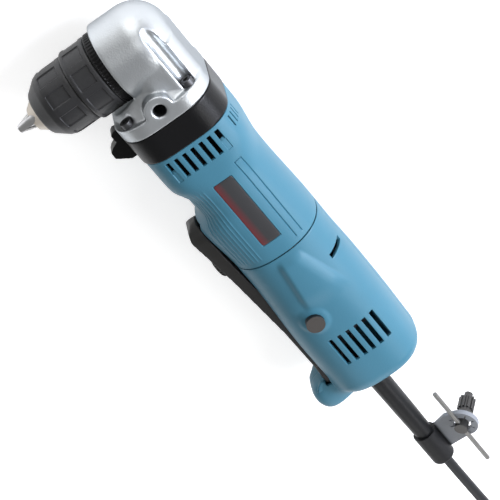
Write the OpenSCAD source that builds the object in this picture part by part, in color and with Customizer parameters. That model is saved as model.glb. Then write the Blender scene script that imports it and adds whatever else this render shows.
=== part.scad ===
// Right angle drill: a corded motor in line with the grip drives a chuck square to it.
// Working frame: X runs from the spindle axis to the tail, the chuck points to -Y, Z is across the grip.

/* [Fits] */
// Clearance of shafts, pins and slides in their bores
run_gap = 0.05; // [0.02:0.01:0.08]
// Clearance of fixed pieces in their seats
seat_gap = 0.03; // [0.02:0.01:0.06]
// Air between neighbouring moving pieces
air_gap = 0.4; // [0.3:0.1:0.6]

/* [Body] */
// Radius of the motor housing and rear cover
body_r = 29.3; // [29:0.1:31]
// Depth of the flats on the two sides of the body
flat_cut = 1.3; // [1.1:0.1:1.6]
// Depth of the flat on the chuck side of the body
floor_cut = 3.9; // [3.6:0.1:4.1]
// Step from the body radius in to the square gear case
case_step = 1.1; // [0.9:0.1:1.3]
// Corner radius of the gear case section
case_corner = 18; // [15:0.5:20]
// Length of the black gear case ring
case_len = 16.5; // [16.5:0.5:18]
// Length of the motor housing
housing_len = 87.3; // [87:0.5:96]
// Length of the square front part of the motor housing
shoulder_len = 28; // [26:0.5:30]
// Length of the rear cover
cover_len = 115.1; // [113:0.1:122]
// Wall of the rear cover
cover_wall = 2.4; // [2:0.1:2.8]
// Corner radius of the tail
tail_round = 13; // [8:0.5:16]
// Length of the motor housing tube inside the rear cover
spigot_len = 14; // [13.5:0.1:15]

/* [Gear head] */
// Radius of the head about the spindle axis
head_r = 23.8; // [23.4:0.1:25.5]
// Height of the back of the head above the motor axis
head_back = 28; // [27.5:0.1:30]
// Corner radius of the back of the head
head_round = 19; // [14:0.5:20]
// Depth of the chuck boss face below the motor axis
boss_y = 8.4; // [8:0.1:10]
// Distance from the spindle axis to the flange face
flange_x = 33.6; // [33.6:0.1:35]
// Thickness of the head flange
flange_len = 8.5; // [7:0.5:9]
// Step from the side flats in to the sides of the neck
neck_step = 5.5; // [4.5:0.1:6]
// Place of the side grip bosses behind the spindle axis
grip_x = 24.7; // [24.6:0.1:25]
// Radius of the side grip bosses
grip_boss_r = 8.5; // [7:0.1:8.6]
// Tapping radius of the side grip threads
grip_hole_r = 3.4; // [3:0.1:4]
// Depth of the side grip threads
grip_hole_deep = 13; // [8:0.5:14]

/* [Housing screws] */
// Distance of the housing screws in from the back and chuck side of the gear case
screw_in_y = 8.7; // [8.4:0.1:9]
// Distance of the housing screws in from the side flats
screw_in_z = 8; // [7.7:0.1:8.3]
// Radius of the housing screw threads
screw_r = 1.95; // [1.5:0.05:2]
// Radius of the housing screw heads
screw_head_r = 3.2; // [2.8:0.1:3.4]
// Length of a housing screw head
screw_head_len = 3.4; // [2.5:0.1:4]
// Length of a housing screw shank
screw_len = 46; // [40:0.5:46]

/* [Gears] */
// Height of the countershaft above the motor axis, as a share of the body radius
counter_share = 0.43; // [0.42:0.005:0.43]
// Teeth of the motor pinion
pinion_teeth = 12; // [12:1:13]
// Teeth of the reduction gear
wheel_teeth = 36; // [35:1:36]
// Width of the reduction gear
spur_face = 8; // [7:0.5:8]
// Module of the bevel gears at the large end
bevel_m = 1.0; // [0.95:0.01:1.0]
// Teeth of the bevel pinion
bevel_pinion_teeth = 13; // [13:1:13]
// Teeth of the bevel gear
bevel_gear_teeth = 34; // [33:1:34]
// Share of the bevel cone that carries teeth
bevel_face = 0.34; // [0.25:0.01:0.36]

/* [Motor] */
// Radius of the motor shaft
shaft_r = 4; // [3.6:0.1:4.2]
// Radius of the field core as a share of the body radius
field_share = 0.785; // [0.775:0.005:0.785]
// Distance of the field core and armature core ahead of the rear cover
stack_back = 18.2; // [17:0.1:20]
// Radius of the armature core as a share of the field core's
armature_share = 0.587; // [0.57:0.005:0.59]
// Air gap between armature and field
motor_gap = 0.6; // [0.5:0.05:0.8]
// Slots in the armature core
armature_slots = 12; // [10:1:14]
// Radius of the commutator as a share of the armature core's
commutator_share = 0.726; // [0.7:0.005:0.74]
// Length of the commutator
commutator_len = 11; // [10:0.5:12]
// Copper bars of the commutator
commutator_bars = 24; // [20:2:28]
// Clearance of the fan in the field core's bore
fan_gap = 1.4; // [1.2:0.1:2]
// Length of the fan
fan_len = 10; // [8:0.5:10.5]
// Blades of the fan
fan_blades = 15; // [9:2:19]

/* [Chuck] */
// Depth of the bearing cover ring below the boss face
cover_ring_len = 5; // [4.5:0.1:5.5]
// Radius of the bearing cover ring
cover_ring_r = 21; // [20.5:0.1:21.4]
// Radius of the rear sleeve
rear_sleeve_r = 21.4; // [20.8:0.1:22.5]
// Length of the rear sleeve
rear_sleeve_len = 15.5; // [14.5:0.1:16]
// Radius of the front sleeve
front_sleeve_r = 19.9; // [19.7:0.1:21]
// Length of the front sleeve
front_sleeve_len = 25.6; // [25:0.1:26]
// Length of the nose ahead of the front sleeve
nose_len = 5.2; // [4.5:0.1:6]
// Reach of the closed jaws ahead of the nose
jaw_reach = 9.8; // [9:0.1:10]
// Slant of the jaws to the chuck axis
jaw_slant = 17; // [16:0.5:17.5]
// Radius of a jaw
jaw_r = 2.6; // [2.4:0.1:2.7]
// Length of a jaw
jaw_len = 26; // [24:0.5:26.5]
// Grip radius of the closed jaws
grip_r = 1.0; // [0.5:0.05:1.2]

/* [Paddle and switch] */
// Half the width of the paddle
paddle_half = 10.5; // [9.8:0.1:11]
// Place of the paddle front behind the spindle axis
paddle_x = 103.5; // [98:0.5:106]
// Drop of the paddle front below the flat chuck side
paddle_deep = 13.4; // [12.5:0.1:14.5]
// Distance of the paddle pin ahead of the tail
pin_back = 19.5; // [18.5:0.1:20.5]
// Drop of the paddle pin below the flat chuck side
pin_deep = 3.6; // [3.4:0.1:4]
// Radius of the paddle pin
pin_r = 2; // [1.6:0.1:2.2]
// Radius of the speed dial
dial_r = 7; // [5.5:0.1:7.5]
// Height of the speed dial above the paddle
dial_h = 2.6; // [2:0.1:3]
// Radius of the lock button
button_r = 5.4; // [4.5:0.1:6]
// Place of the lock button ahead of the tail
button_back = 66.9; // [66.4:0.1:67.9]
// Drop of the lock button below the motor axis
button_drop = 10.3; // [9.8:0.1:10.8]
// Travel of the lock button
button_travel = 2.6; // [1.5:0.1:2.8]

/* [Vents and label] */
// Vent slots on each side of the motor housing
front_vents = 7; // [5:2:7]
// Pitch of the motor housing vents
front_vent_pitch = 5.3; // [4.8:0.1:5.4]
// Width of a vent slot
vent_w = 2.7; // [1.5:0.1:3]
// Vent slots on each side of the rear cover
rear_vents = 6; // [4:1:6]
// Pitch of the rear cover vents
rear_vent_pitch = 5.6; // [5:0.1:5.8]
// Distance of the label plate ahead of the rear cover
label_back = 10.8; // [9:0.1:20]
// Width of the label plate
label_w = 12; // [8:0.5:13]

/* [Cord] */
// Diameter of the power cord
cord_d = 6; // [5.5:0.1:6.2]
// Radius of the cord guard at the tail
guard_r = 6.5; // [6:0.1:6.8]
// Length of the cord guard outside the tail
guard_len = 62.5; // [62.5:0.5:62.5]
// Drop of the cord below the motor axis
cord_drop = 10; // [10:1:10]
// Turns of the cord coil in each layer, without the climb
coil_turns = 2.25; // [2.25:1:2.25]
// Layers of the cord coil
coil_layers = 4; // [4:2:4]
// Radius of the middle turn of the coil
coil_r = 33; // [33:1:33]
// Spacing of the turns and layers of the coil
coil_pitch = 6.6; // [6.6:0.1:6.8]

/* [Hidden] */
$fn = 96;

// Cross section of the body
body_half = body_r - flat_cut;
body_floor = body_r - floor_cut;
case_half = body_r - case_step;
neck_half = body_half - neck_step;
screw_y = case_half - screw_in_y;
screw_z = body_half - screw_in_z;
field_r = field_share * body_r;
armature_r = armature_share * field_r;
commutator_r = commutator_share * armature_r;
fan_r = field_r - fan_gap;
cut_len = 2 * body_r;

// Stations along the motor axis
x_case = flange_x + case_len;
x_seam = x_case + housing_len;
x_tail = x_seam + cover_len;
x_flange_front = flange_x - flange_len;
lug_end = x_tail + 1;

// Chuck stations below the boss face
s_rear = cover_ring_len + air_gap;
s_groove = s_rear + rear_sleeve_len;
s_front = s_groove + air_gap;
s_nose = s_front + front_sleeve_len;
s_face = s_nose + nose_len;
s_tip = s_face + jaw_reach;

// Chuck body and sleeves
hub_r = 17;
core_r = 15.6;
nose_r = 10.2;
nose_tip_r = 6.7;
sleeve_bore_r = 18.2;
cone_top_r = front_sleeve_r - 1.5;
cone_end_r = nose_r + 2.4;
nose_bore_r = nose_r + 0.4;
cone_bore_r = sleeve_bore_r - 2;
nut_r = core_r + 0.4;
nut_s = 5.8;
nut_len = 6;

// The part stands on its flat right side, centred under its box
x_shift = -(lug_end - head_r) / 2;
y_shift = (boss_y + s_tip - body_r) / 2;
z_shift = body_half;

// Gear train
y_counter = counter_share * body_r;
spur_m = 2 * y_counter / (pinion_teeth + wheel_teeth);
bevel_pinion_r = bevel_m * bevel_pinion_teeth / 2;
bevel_gear_r = bevel_m * bevel_gear_teeth / 2;
wheel_r = spur_m * wheel_teeth / 2;
tooth_height = 0.75;
tooth_depth = 0.9;
bevel_height = 0.5;
bevel_depth = 0.7;
cavity_r = bevel_gear_r + 2.6;
wheel_x = flange_x + 2.4;
pinion_bore_r = 1.6;
counter_r = 4;
counter_rear_r = 3;
counter_tip_r = 3;

// Bearings, each as outer radius, inner radius and width
counter_front_brg = [9.5, counter_r, 6];
counter_rear_brg = [6, counter_rear_r, 4];
motor_front_brg = [8, shaft_r, 5];
rear_journal_r = 3.5;
motor_rear_brg = [9.5, rear_journal_r, 6];
spindle_r = 6;
spindle_front_brg = [14, spindle_r, 7.5];
spindle_top_r = 3;
spindle_rear_brg = [7.5, spindle_top_r, 5];
counter_front_x = 20.4;
counter_rear_x = wheel_x + spur_face + 1;
motor_front_x = x_case + 2.6;
motor_rear_x = x_seam + spigot_len + 2.6;
spindle_front_y = -1 - spindle_front_brg[2];
spindle_rear_y = head_back - 3 - spindle_rear_brg[2];

// Motor stations
fan_x = motor_front_x + motor_front_brg[2] + 2.5;
baffle_x = fan_x + fan_len + 2;
stack_x = baffle_x + 11;
stack_end = x_seam - stack_back;
stack_len = stack_end - stack_x;
winding_len = 7;
slot_deep = 0.4444 * armature_r;
slot_w = 0.163 * armature_r;
commutator_x = x_seam + 1;
brush_x = commutator_x + commutator_len / 2;
shaft_end = motor_rear_x + motor_rear_brg[2];
spigot_r = body_r - 4.9;
spigot_wall = 2.2;
bearing_wall = 2.5;

label_x = x_case + 29;
label_len = x_seam - label_back - label_x;

// Rear cover stations
cover_floor = body_floor + 1.1;
pin_x = x_tail - pin_back;
button_x = x_tail - button_back;
switch_x = x_tail - 76.5;
switch_len = 40;
switch_half = 10;
switch_low = -14;
switch_high = 12;
plunger_x = x_tail - 60.5;
plunger_r = 3;
channel_half = paddle_half + air_gap;
paddle_drop = body_floor + paddle_deep;
pin_drop = body_floor + pin_deep;
paddle_top = 0.8 - body_floor;
channel_top = paddle_top + 4.6;
inner_paddle_x = motor_rear_x + 3;
dial_slope = 5.4;
lug_half = 12;
tongue_half = 6;
cover_screw_r = 1.5;
cover_screw_head_r = 3;
cover_screw_seat = 12;
cover_screw_post_r = 3.8;
cover_screw_spots = [
  [x_seam + 31, body_r - 9.3], [x_tail - 17, body_r - 12.3], [x_tail - 19, 11.8 - body_r]
];
clamp_x = x_tail - 31.5;
clamp_half = 7.5;
clamp_screw_y = 5.4;
clamp_h = 6.5;
clamp_post_r = 2.2;
clamp_screw_r = 1.25;

// Finger stop under the gear case
stop_half = 4;
stop_deep = 12.7;

// Brush gear
brush_top = spigot_r - 4.4;
brush_size = [6.3, 4.3, brush_top - commutator_r + 1.8];
holder_low = commutator_r + 1.7;
holder_size = [9.9, 8, spigot_r + 0.1 - holder_low];

// Key in its holder on the cord guard
guard_end = x_tail + guard_len;
holder_x = guard_end - 2;
holder_len = 24;
holder_r = 7.4;
plate_t = 3;
plate_tilt = 27;
plate_reach = 26;
plate_drop = 5;
disc_r = 9.6;
disc_x = holder_x + 4.3;
disc_y = -cord_drop + plate_reach * cos(plate_tilt);
disc_z = -plate_drop + plate_reach * sin(plate_tilt);
star_slots = 8;
key_shank_r = 4;
key_hole_r = 5.6;
key_bar_r = 1.4;
key_bar_len = 62;
key_head_h = 3.8;
key_shank_len = 18;
key_teeth_x = 9;
key_pilot_len = 4;

// Cord route: straight from its clamp through the guard, then a shallow sag to the top turn of the coil
cord_route = [
  [217, -10, 0], [233, -10, 0], [250, -10, 0], [265, -10, 0], [280, -10, 0], [295, -10, 0], [310, -10, 0],
  [325, -10, 0], [340, -10, 0], [354, -10, 0], [367, -10, -0.4], [380, -10, -1], [393, -10, -1.8],
  [406, -10, -2.6], [419, -10, -3.3], [432, -10, -3.8], [443, -10, -4], [454, -10, -4]
];
coil_x = 460;
coil_floor = 1.2;
coil_z = -body_half + coil_floor + cord_d / 2;
coil_sides = 6;
coil_steps = 24;

module place() translate([x_shift, y_shift, z_shift]) children();

module along_x(x0, len) translate([x0, 0, 0]) rotate([90, 0, 90]) linear_extrude(len) children();
module along_z(z0, len) translate([0, 0, z0]) linear_extrude(len) children();
module rod_x(x0, len, r) translate([x0, 0, 0]) rotate([0, 90, 0]) cylinder(h = len, r = r);
module rod_y(y0, len, r) translate([0, y0, 0]) rotate([-90, 0, 0]) cylinder(h = len, r = r);
module turned_x(x0) translate([x0, 0, 0]) rotate([0, 90, 0]) rotate_extrude() children();
module turned_y(y0) translate([0, y0, 0]) rotate([-90, 0, 0]) rotate_extrude() children();
module chuck_turned() translate([0, -boss_y, 0]) rotate([90, 0, 0]) rotate_extrude() children();

// Rectangle with rounded corners, from y0 to y1 and half wide either side
module rounded_rect(y0, y1, half, r) {
  translate([y0 + r, -half]) square([y1 - y0 - 2 * r, 2 * half]);
  translate([y0, -half + r]) square([y1 - y0, 2 * (half - r)]);
  for (y = [y0 + r, y1 - r], z = [-half + r, half - r]) translate([y, z]) circle(r);
}

// Half profile of a round bar with one rounded end
module rounded_end(r, len, corner) {
  square([r - corner, len]);
  square([r, len - corner]);
  translate([r - corner, len - corner]) intersection() { circle(corner); square(corner); }
}

module case_section() rounded_rect(-case_half, case_half, body_half, case_corner);

module tube_section() intersection() {
  circle(body_r);
  translate([-body_floor, -body_half]) square([body_floor + body_r, 2 * body_half]);
}

// Slot with round ends along X
module slot(x0, x1, w) {
  translate([x0 + w / 2, -w / 2]) square([x1 - x0 - w, w]);
  for (x = [x0 + w / 2, x1 - w / 2]) translate([x, 0]) circle(w / 2);
}

// Fine line cut into the round of the body at an angle from the Z axis
module body_line(x0, x1, angle, w, deep)
  rotate([-angle, 0, 0]) translate([x0, -w / 2, body_r - deep]) cube([x1 - x0, w, 4]);

// Gear outline with straight flanks: heights in modules, tooth widths as shares of the pitch at root and tip
module gear_outline(teeth, m, height, depth, root_share, tip_share, first) {
  root = m * teeth / 2 - depth * m;
  tip = m * teeth / 2 + height * m;
  step = 360 / teeth;
  polygon([
    for (i = [0:teeth - 1]) each [
      for (p = [[root, -root_share], [tip, -tip_share], [tip, tip_share], [root, root_share]])
        let (a = first + step * (i + p[1] / 2)) [p[0] * cos(a), p[0] * sin(a)]
    ]
  ]);
}

// Shielded ball bearing as one turned ring with a recess in each face
module bearing_ring(size) difference() {
  translate([size[1] + seat_gap, 0]) square([size[0] - size[1] - 2 * seat_gap, size[2]]);
  for (h = [-1, size[2] - 0.4])
    translate([size[1] + 0.3 * (size[0] - size[1]), h]) square([0.4 * (size[0] - size[1]), 1.4]);
}

module screw_spots() for (y = [-screw_y, screw_y], z = [-screw_z, screw_z]) translate([0, y, z]) children();

module gear_housing() color("silver") place() difference() {
  union() {
    turned_y(-boss_y) rounded_end(head_r, head_back + boss_y, head_round);
    along_x(0, x_flange_front) rounded_rect(-boss_y, head_back, neck_half, 14);
    translate([9, 0, 0]) rotate([0, 90, 0]) cylinder(h = x_flange_front - 9, r1 = 15, r2 = case_half - 0.7);
    along_x(x_flange_front, flange_len) case_section();
    translate([grip_x, 0, -body_half]) cylinder(h = 2 * body_half, r = grip_boss_r);
  }
  rod_y(-boss_y - 60, 60, rear_sleeve_r + 1.6);
  rod_y(-boss_y - 1, y_counter + boss_y + 1, cavity_r);
  rod_y(0, head_back - 8.5, 11);
  rod_y(spindle_rear_y, spindle_rear_brg[2] + 0.3, spindle_rear_brg[0] + seat_gap);
  rod_y(head_back - 10, 3, 6);
  translate([0, y_counter, 0]) {
    rod_x(8, counter_front_x - 8 + 0.1, 8.3);
    rod_x(counter_front_x, flange_x, counter_front_brg[0] + seat_gap);
    rod_x(flange_x - 1, 2, wheel_r + 1.6);
  }
  rod_x(flange_x - 2, 3, 5);
  screw_spots() {
    rod_x(-40, 40 + x_flange_front, screw_head_r + 0.5);
    rod_x(0, flange_x + 1, screw_r + 0.25);
  }
  for (s = [0, 1]) mirror([0, 0, s]) translate([grip_x, 0, body_half - grip_hole_deep])
    cylinder(h = grip_hole_deep + 1, r = grip_hole_r);
  for (s = [0, 1]) mirror([0, 0, s]) translate([grip_x, 0, body_half - 0.9])
    cylinder(h = 1, r1 = grip_hole_r, r2 = grip_hole_r + 1);
}

module spindle_cover() color("#26282b") place() difference() {
  translate([0, -boss_y - cover_ring_len, 0]) rotate([-90, 0, 0]) rotate_extrude() {
    square([cover_ring_r, cover_ring_len]);
    square([cavity_r - seat_gap, cover_ring_len + boss_y - 1.2]);
  }
  rod_y(spindle_front_y, 20, spindle_front_brg[0] + seat_gap);
  rod_y(-boss_y - cover_ring_len - 1, 20, spindle_r + 3);
}

module housing_screws() color("#3a3c40") place() screw_spots() difference() {
  union() {
    rod_x(x_flange_front - screw_head_len, screw_head_len, screw_head_r);
    rod_x(x_flange_front - 0.1, screw_len + 0.1, screw_r);
  }
  rod_x(x_flange_front - screw_head_len - 1, 2.8, 1.5);
}

module gear_case() color("#202224") place() difference() {
  union() {
    along_x(flange_x, case_len) case_section();
    rod_x(x_case - 1, motor_front_x + motor_front_brg[2] - x_case + 1.4, motor_front_brg[0] + 3.4);
    rod_x(x_case - 1, 4.2, field_r - seat_gap);
    along_z(-stop_half, 2 * stop_half) polygon([
      [flange_x + 0.4, 8 - case_half], [flange_x + 0.4, -case_half - 0.4], [flange_x - 2.6, -case_half - 0.4],
      [flange_x - 2.8, -case_half - 4.6], [flange_x - 1.4, -case_half - 6.4], [flange_x + 2, -case_half - 6.4],
      [flange_x + 3.2, -case_half - 6], [flange_x + 5, -case_half - 10], [flange_x + 6.8, -case_half - 12.3],
      [flange_x + 11, -case_half - stop_deep], [x_case, -case_half - 5.2], [x_case, 8 - case_half]
    ]);
  }
  difference() {
    rod_x(x_case, 10, field_r - 2.5);
    rod_x(x_case - 1, 20, motor_front_brg[0] + 3.4);
  }
  translate([0, y_counter, 0]) {
    rod_x(flange_x - 1, counter_rear_x - flange_x + 1, wheel_r + 1.6);
    rod_x(counter_rear_x - 1, counter_rear_brg[2] + 1.2, counter_rear_brg[0] + seat_gap);
  }
  rod_x(flange_x - 1, 40, shaft_r + 0.6);
  rod_x(motor_front_x, 20, motor_front_brg[0] + seat_gap);
  screw_spots() rod_x(flange_x - 1, 40, screw_r + 0.25);
}

// Pair of cheeks that close round the sides of the paddle, with a given side view between two stations
module cheeks(x0, x1, side_view) for (s = [0, 1]) mirror([0, 0, s]) intersection() {
  along_z(channel_half, 10) polygon(side_view);
  along_x(x0, x1 - x0) polygon([
    [7.4 - body_floor, channel_half], [-body_floor - 5.6, channel_half],
    [-body_floor - 3.8, channel_half + 3.1], [5.4 - body_floor, channel_half + 9.7]
  ]);
}

module motor_housing() color("#1583b8") place() difference() {
  union() {
    cheeks(paddle_x - 6, x_seam, [
      [paddle_x - 6, 7 - body_floor], [paddle_x - 6, 0.5 - body_floor], [paddle_x + 4, -body_floor - 4.1],
      [paddle_x + 8, -body_floor - 4.4], [x_seam, -body_floor - 1.6], [x_seam, 7 - body_floor]
    ]);
    along_x(x_case, shoulder_len) case_section();
    along_x(x_case, housing_len) tube_section();
    rod_x(x_seam - 1, spigot_len + 1, spigot_r);
    rod_x(x_seam + spigot_len - 1, shaft_end - x_seam - spigot_len + 2.4, motor_rear_brg[0] + bearing_wall);
  }
  rod_x(x_case - 1, stack_end - x_case + 1, field_r + seat_gap);
  rod_x(stack_end - 1, x_seam + spigot_len - 2 - stack_end + 1, spigot_r - spigot_wall);
  rod_x(x_seam, shaft_end - x_seam + 0.2, motor_rear_brg[0] + seat_gap);
  screw_spots() rod_x(x_case - 1, x_flange_front + screw_len + 1.5 - x_case, screw_r + seat_gap);
  for (k = [0:front_vents - 1]) {
    row = k - (front_vents - 1) / 2;
    reach = abs(row) == (front_vents - 1) / 2 ? 7.5 : 13;
    for (s = [0, 1]) mirror([0, 0, s]) translate([0, row * front_vent_pitch, 12]) linear_extrude(30)
      slot(x_case + 2.5, x_case + 2.5 + reach, vent_w);
  }
  for (a = [26.3, 37.9, -24, -31, -38]) body_line(x_case + 24, x_seam - 3.5, a, 0.8, 0.5);
  translate([label_x, -label_w / 2 + 1, body_half - 0.6]) cube([label_len, label_w, 2]);
  for (s = [-1, 1]) translate([brush_x, 0, s * spigot_r])
    cube([holder_size[0] + 0.1, holder_size[1] + 0.1, 12], center = true);
}

module label_plate() color("#35383c") place()
  translate([label_x + seat_gap, -label_w / 2 + 1 + seat_gap, body_half - 0.6])
    cube([label_len - 2 * seat_gap, label_w - 2 * seat_gap, 0.8]);

// Window of the field core between its two poles, at the back or the chuck side
module pole_window(r0, r1, half_angle) intersection() {
  difference() {
    circle(r1);
    circle(r0);
  }
  polygon([[0, 0], [40, 40 * tan(half_angle)], [40, -40 * tan(half_angle)]]);
}

module field_core() color("#8b8f94") place() along_x(stack_x, stack_len) difference() {
  circle(field_r);
  circle(armature_r + motor_gap);
  for (s = [0, 180]) rotate(s) pole_window(armature_r, field_r - 3.8, 52);
}

module field_coils() color("#b06a34") place() {
  for (s = [0, 180]) along_x(stack_x - winding_len, stack_len + 2 * winding_len) rotate(s)
    pole_window(armature_r + motor_gap + 0.6, field_r - 3.8 - seat_gap, 50);
}

module baffle_plate() color("#2a2c2f") place() along_x(baffle_x, 1.6) difference() {
  circle(field_r - seat_gap);
  circle(armature_r + 3);
}

module front_motor_bearing() color("#c4c8cc") place() turned_x(motor_front_x) bearing_ring(motor_front_brg);
module rear_motor_bearing() color("#c4c8cc") place() turned_x(motor_rear_x) bearing_ring(motor_rear_brg);
module spindle_front_bearing() color("#c4c8cc") place() turned_y(spindle_front_y) bearing_ring(spindle_front_brg);
module spindle_rear_bearing() color("#c4c8cc") place() turned_y(spindle_rear_y) bearing_ring(spindle_rear_brg);
module countershaft_front_bearing() color("#c4c8cc") place() translate([0, y_counter, 0])
  turned_x(counter_front_x) bearing_ring(counter_front_brg);
module countershaft_rear_bearing() color("#c4c8cc") place() translate([0, y_counter, 0])
  turned_x(counter_rear_x) bearing_ring(counter_rear_brg);

module brush_holders() color("#b8923e") place() for (s = [0, 1]) mirror([0, 0, s]) difference() {
  translate([brush_x, 0, holder_low + holder_size[2] / 2]) cube(holder_size, center = true);
  translate([brush_x, 0, holder_low - 1 + holder_size[2] / 2])
    cube([brush_size[0] + 0.1, brush_size[1] + 0.1, holder_size[2]], center = true);
}

module carbon_brushes() color("#3b3b3d") place() for (s = [0, 1]) mirror([0, 0, s])
  difference() {
    translate([brush_x, 0, brush_top - brush_size[2] / 2]) cube(brush_size, center = true);
    rod_x(0, 400, commutator_r + 0.1);
  }

module brush_springs() color("#c9ccd0") place() for (s = [0, 1]) mirror([0, 0, s])
  translate([brush_x, 0, brush_top + 0.05]) difference() {
    cylinder(h = 3.4, r = 2.1);
    translate([0, 0, -1]) cylinder(h = 6, r = 1.4);
  }

// Outer form of the rear cover, drawn in by an inset
module cover_form(inset) intersection() {
  turned_x(x_seam - (inset > 0 ? 1 : 0))
    rounded_end(body_r - inset, cover_len - inset + (inset > 0 ? 1 : 0), tail_round - inset);
  translate([x_seam - 2, -cover_floor + inset, -body_half + inset])
    cube([cover_len + 10, cover_floor + body_r, 2 * (body_half - inset)]);
}

// Lug under the tail that guards the end of the paddle
module tail_lug() along_z(-lug_half, 2 * lug_half) polygon([
  [x_tail - 24.5, 6.5 - cover_floor], [x_tail - 24.3, -cover_floor - 8], [x_tail - 21.5, -cover_floor - 12],
  [x_tail - 14.5, -cover_floor - 15.6], [x_tail - 8, -cover_floor - 16.8], [x_tail - 3, -cover_floor - 15.6],
  [lug_end, -cover_floor - 12], [x_tail - 0.5, -cover_floor + 2], [x_tail - 4, 8 - cover_floor]
]);

module rear_cover() difference() {
  union() {
    difference() {
      union() {
        cover_form(0);
        tail_lug();
        cheeks(x_seam, x_tail - 20, [
          [x_seam, 7 - body_floor], [x_seam, -body_floor - 1.6], [x_tail - 44, -body_floor - 4.6],
          [x_tail - 20, -body_floor - 4.8], [x_tail - 20, 7 - body_floor]
        ]);
      }
      difference() {
        cover_form(cover_wall);
        tail_lug();
      }
    }
    intersection() {
      cover_form(0.2);
      union() {
        for (p = cover_screw_spots) translate([p[0], p[1], -cut_len]) cylinder(h = 2 * cut_len, r = cover_screw_post_r);
        translate([button_x, -button_drop, 15.5]) cylinder(h = 20, r = button_r + 1.8);
        clamp_spots() translate([0, 0, -cut_len]) cylinder(h = cut_len, r = clamp_post_r);
      }
    }
  }
  translate([x_seam - 2, -cut_len, -channel_half])
    cube([pin_x - 8 - x_seam + 2, cut_len + channel_top, 2 * channel_half]);
  translate([pin_x - 12, -cut_len, -tongue_half - air_gap])
    cube([18, cut_len + channel_top, 2 * (tongue_half + air_gap)]);
  translate([pin_x, -pin_drop, -9]) cylinder(h = 18, r = pin_r + seat_gap);
  for (k = [0:rear_vents - 1]) for (s = [0, 1]) mirror([0, 0, s])
    translate([0, 3 + (k - (rear_vents - 1) / 2) * rear_vent_pitch, 15]) linear_extrude(30)
      slot(x_tail - 50.5, x_tail - 29.5, vent_w);
  translate([0, -cord_drop, 0]) rod_x(x_tail - 8, 20, guard_r + seat_gap);
  translate([button_x, -button_drop, 14]) cylinder(h = 20, r = button_r - 2 + run_gap);
  translate([button_x, -button_drop, body_half - 4.5]) cylinder(h = 20, r = button_r + 0.3);
  clamp_spots() translate([0, 0, -8]) cylinder(h = 9, r = clamp_screw_r + seat_gap);
  for (p = cover_screw_spots) {
    translate([p[0], p[1], -cut_len]) cylinder(h = cut_len + cover_screw_seat + 2, r = cover_screw_r + seat_gap);
    translate([p[0], p[1], -cut_len]) cylinder(h = cut_len - cover_screw_seat, r = cover_screw_head_r + 0.1);
  }
  translate([x_seam + 20.2, 0, 0]) rotate([90, 0, 90]) linear_extrude(2) intersection() {
    difference() {
      circle(body_r + 1);
      circle(body_r - 4);
    }
    polygon([[0, 0], cut_len * [cos(49.2), sin(49.2)], cut_len * [cos(20), sin(20)]]);
  }
}

module rear_cover_left() color("#1583b8") place() intersection() {
  rear_cover();
  translate([0, -cut_len, 0]) cube([2 * x_tail, 2 * cut_len, cut_len]);
}

module rear_cover_right() color("#1583b8") place() intersection() {
  rear_cover();
  translate([0, -cut_len, -cut_len]) cube([2 * x_tail, 2 * cut_len, cut_len]);
}

module rear_cover_screws() color("#3a3c40") place() for (p = cover_screw_spots) translate([p[0], p[1], 0])
  difference() {
    union() {
      translate([0, 0, -cover_screw_seat - 3]) cylinder(h = 3, r = cover_screw_head_r);
      translate([0, 0, -cover_screw_seat - 0.1]) cylinder(h = 2 * cover_screw_seat + 1, r = cover_screw_r);
    }
    translate([0, 0, -cover_screw_seat - 4]) cylinder(h = 2.6, r = 1.2, $fn = 6);
  }

module switch_body() color("#4a4d52") place() difference() {
  union() {
    translate([switch_x, switch_low, -switch_half]) cube([switch_len, switch_high - switch_low, 2 * switch_half]);
    for (s = [-1, 1]) translate([switch_x + 6, 4, s > 0 ? switch_half - 0.1 : -body_half + cover_wall])
      cylinder(h = body_half - cover_wall - switch_half + 0.1, r = 3);
  }
  translate([plunger_x, 0, 0]) rod_y(switch_low - 1, 9, plunger_r + run_gap);
}

module switch_plunger() color("#c8432f") place() translate([plunger_x, 0, 0])
  rod_y(paddle_top + 0.3, switch_low - paddle_top + 3.5, plunger_r);

module paddle_pin() color("#c4c8cc") place() translate([pin_x, -pin_drop, -9]) cylinder(h = 18, r = pin_r);

module clamp_spots() for (y = [-clamp_screw_y, clamp_screw_y]) translate([clamp_x, -cord_drop + y, 0]) children();

module cord_clamp() color("#26282b") place() difference() {
  translate([clamp_x - 3, -cord_drop - clamp_half, 0]) cube([6, 2 * clamp_half, clamp_h]);
  translate([0, -cord_drop, 0]) rod_x(clamp_x - 5, 10, cord_d / 2 + 0.1);
  clamp_spots() translate([0, 0, -1]) cylinder(h = 20, r = clamp_screw_r + seat_gap);
}

module clamp_screws() color("#3a3c40") place() clamp_spots() {
  translate([0, 0, clamp_h]) cylinder(h = 1.8, r = 2.1);
  translate([0, 0, -7]) cylinder(h = clamp_h + 7.1, r = clamp_screw_r);
}

module armature_shaft() color("#b9bdc2") place() {
  rod_x(wheel_x - 0.4, motor_front_x - wheel_x, pinion_bore_r);
  rod_x(motor_front_x - 0.6, motor_rear_x - motor_front_x, shaft_r);
  rod_x(motor_rear_x - 0.7, motor_rear_brg[2] + 0.5, rear_journal_r);
}

module motor_pinion() color("#9a9ea3") place() difference() {
  union() {
    along_x(wheel_x, spur_face + 0.6)
      gear_outline(pinion_teeth, spur_m, tooth_height, tooth_depth, 0.54, 0.2, 0);
    rod_x(wheel_x + spur_face + 0.5, motor_front_x - 1.2 - wheel_x - spur_face, shaft_r - 0.4);
  }
  rod_x(wheel_x - 1, 40, pinion_bore_r + seat_gap);
}

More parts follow.
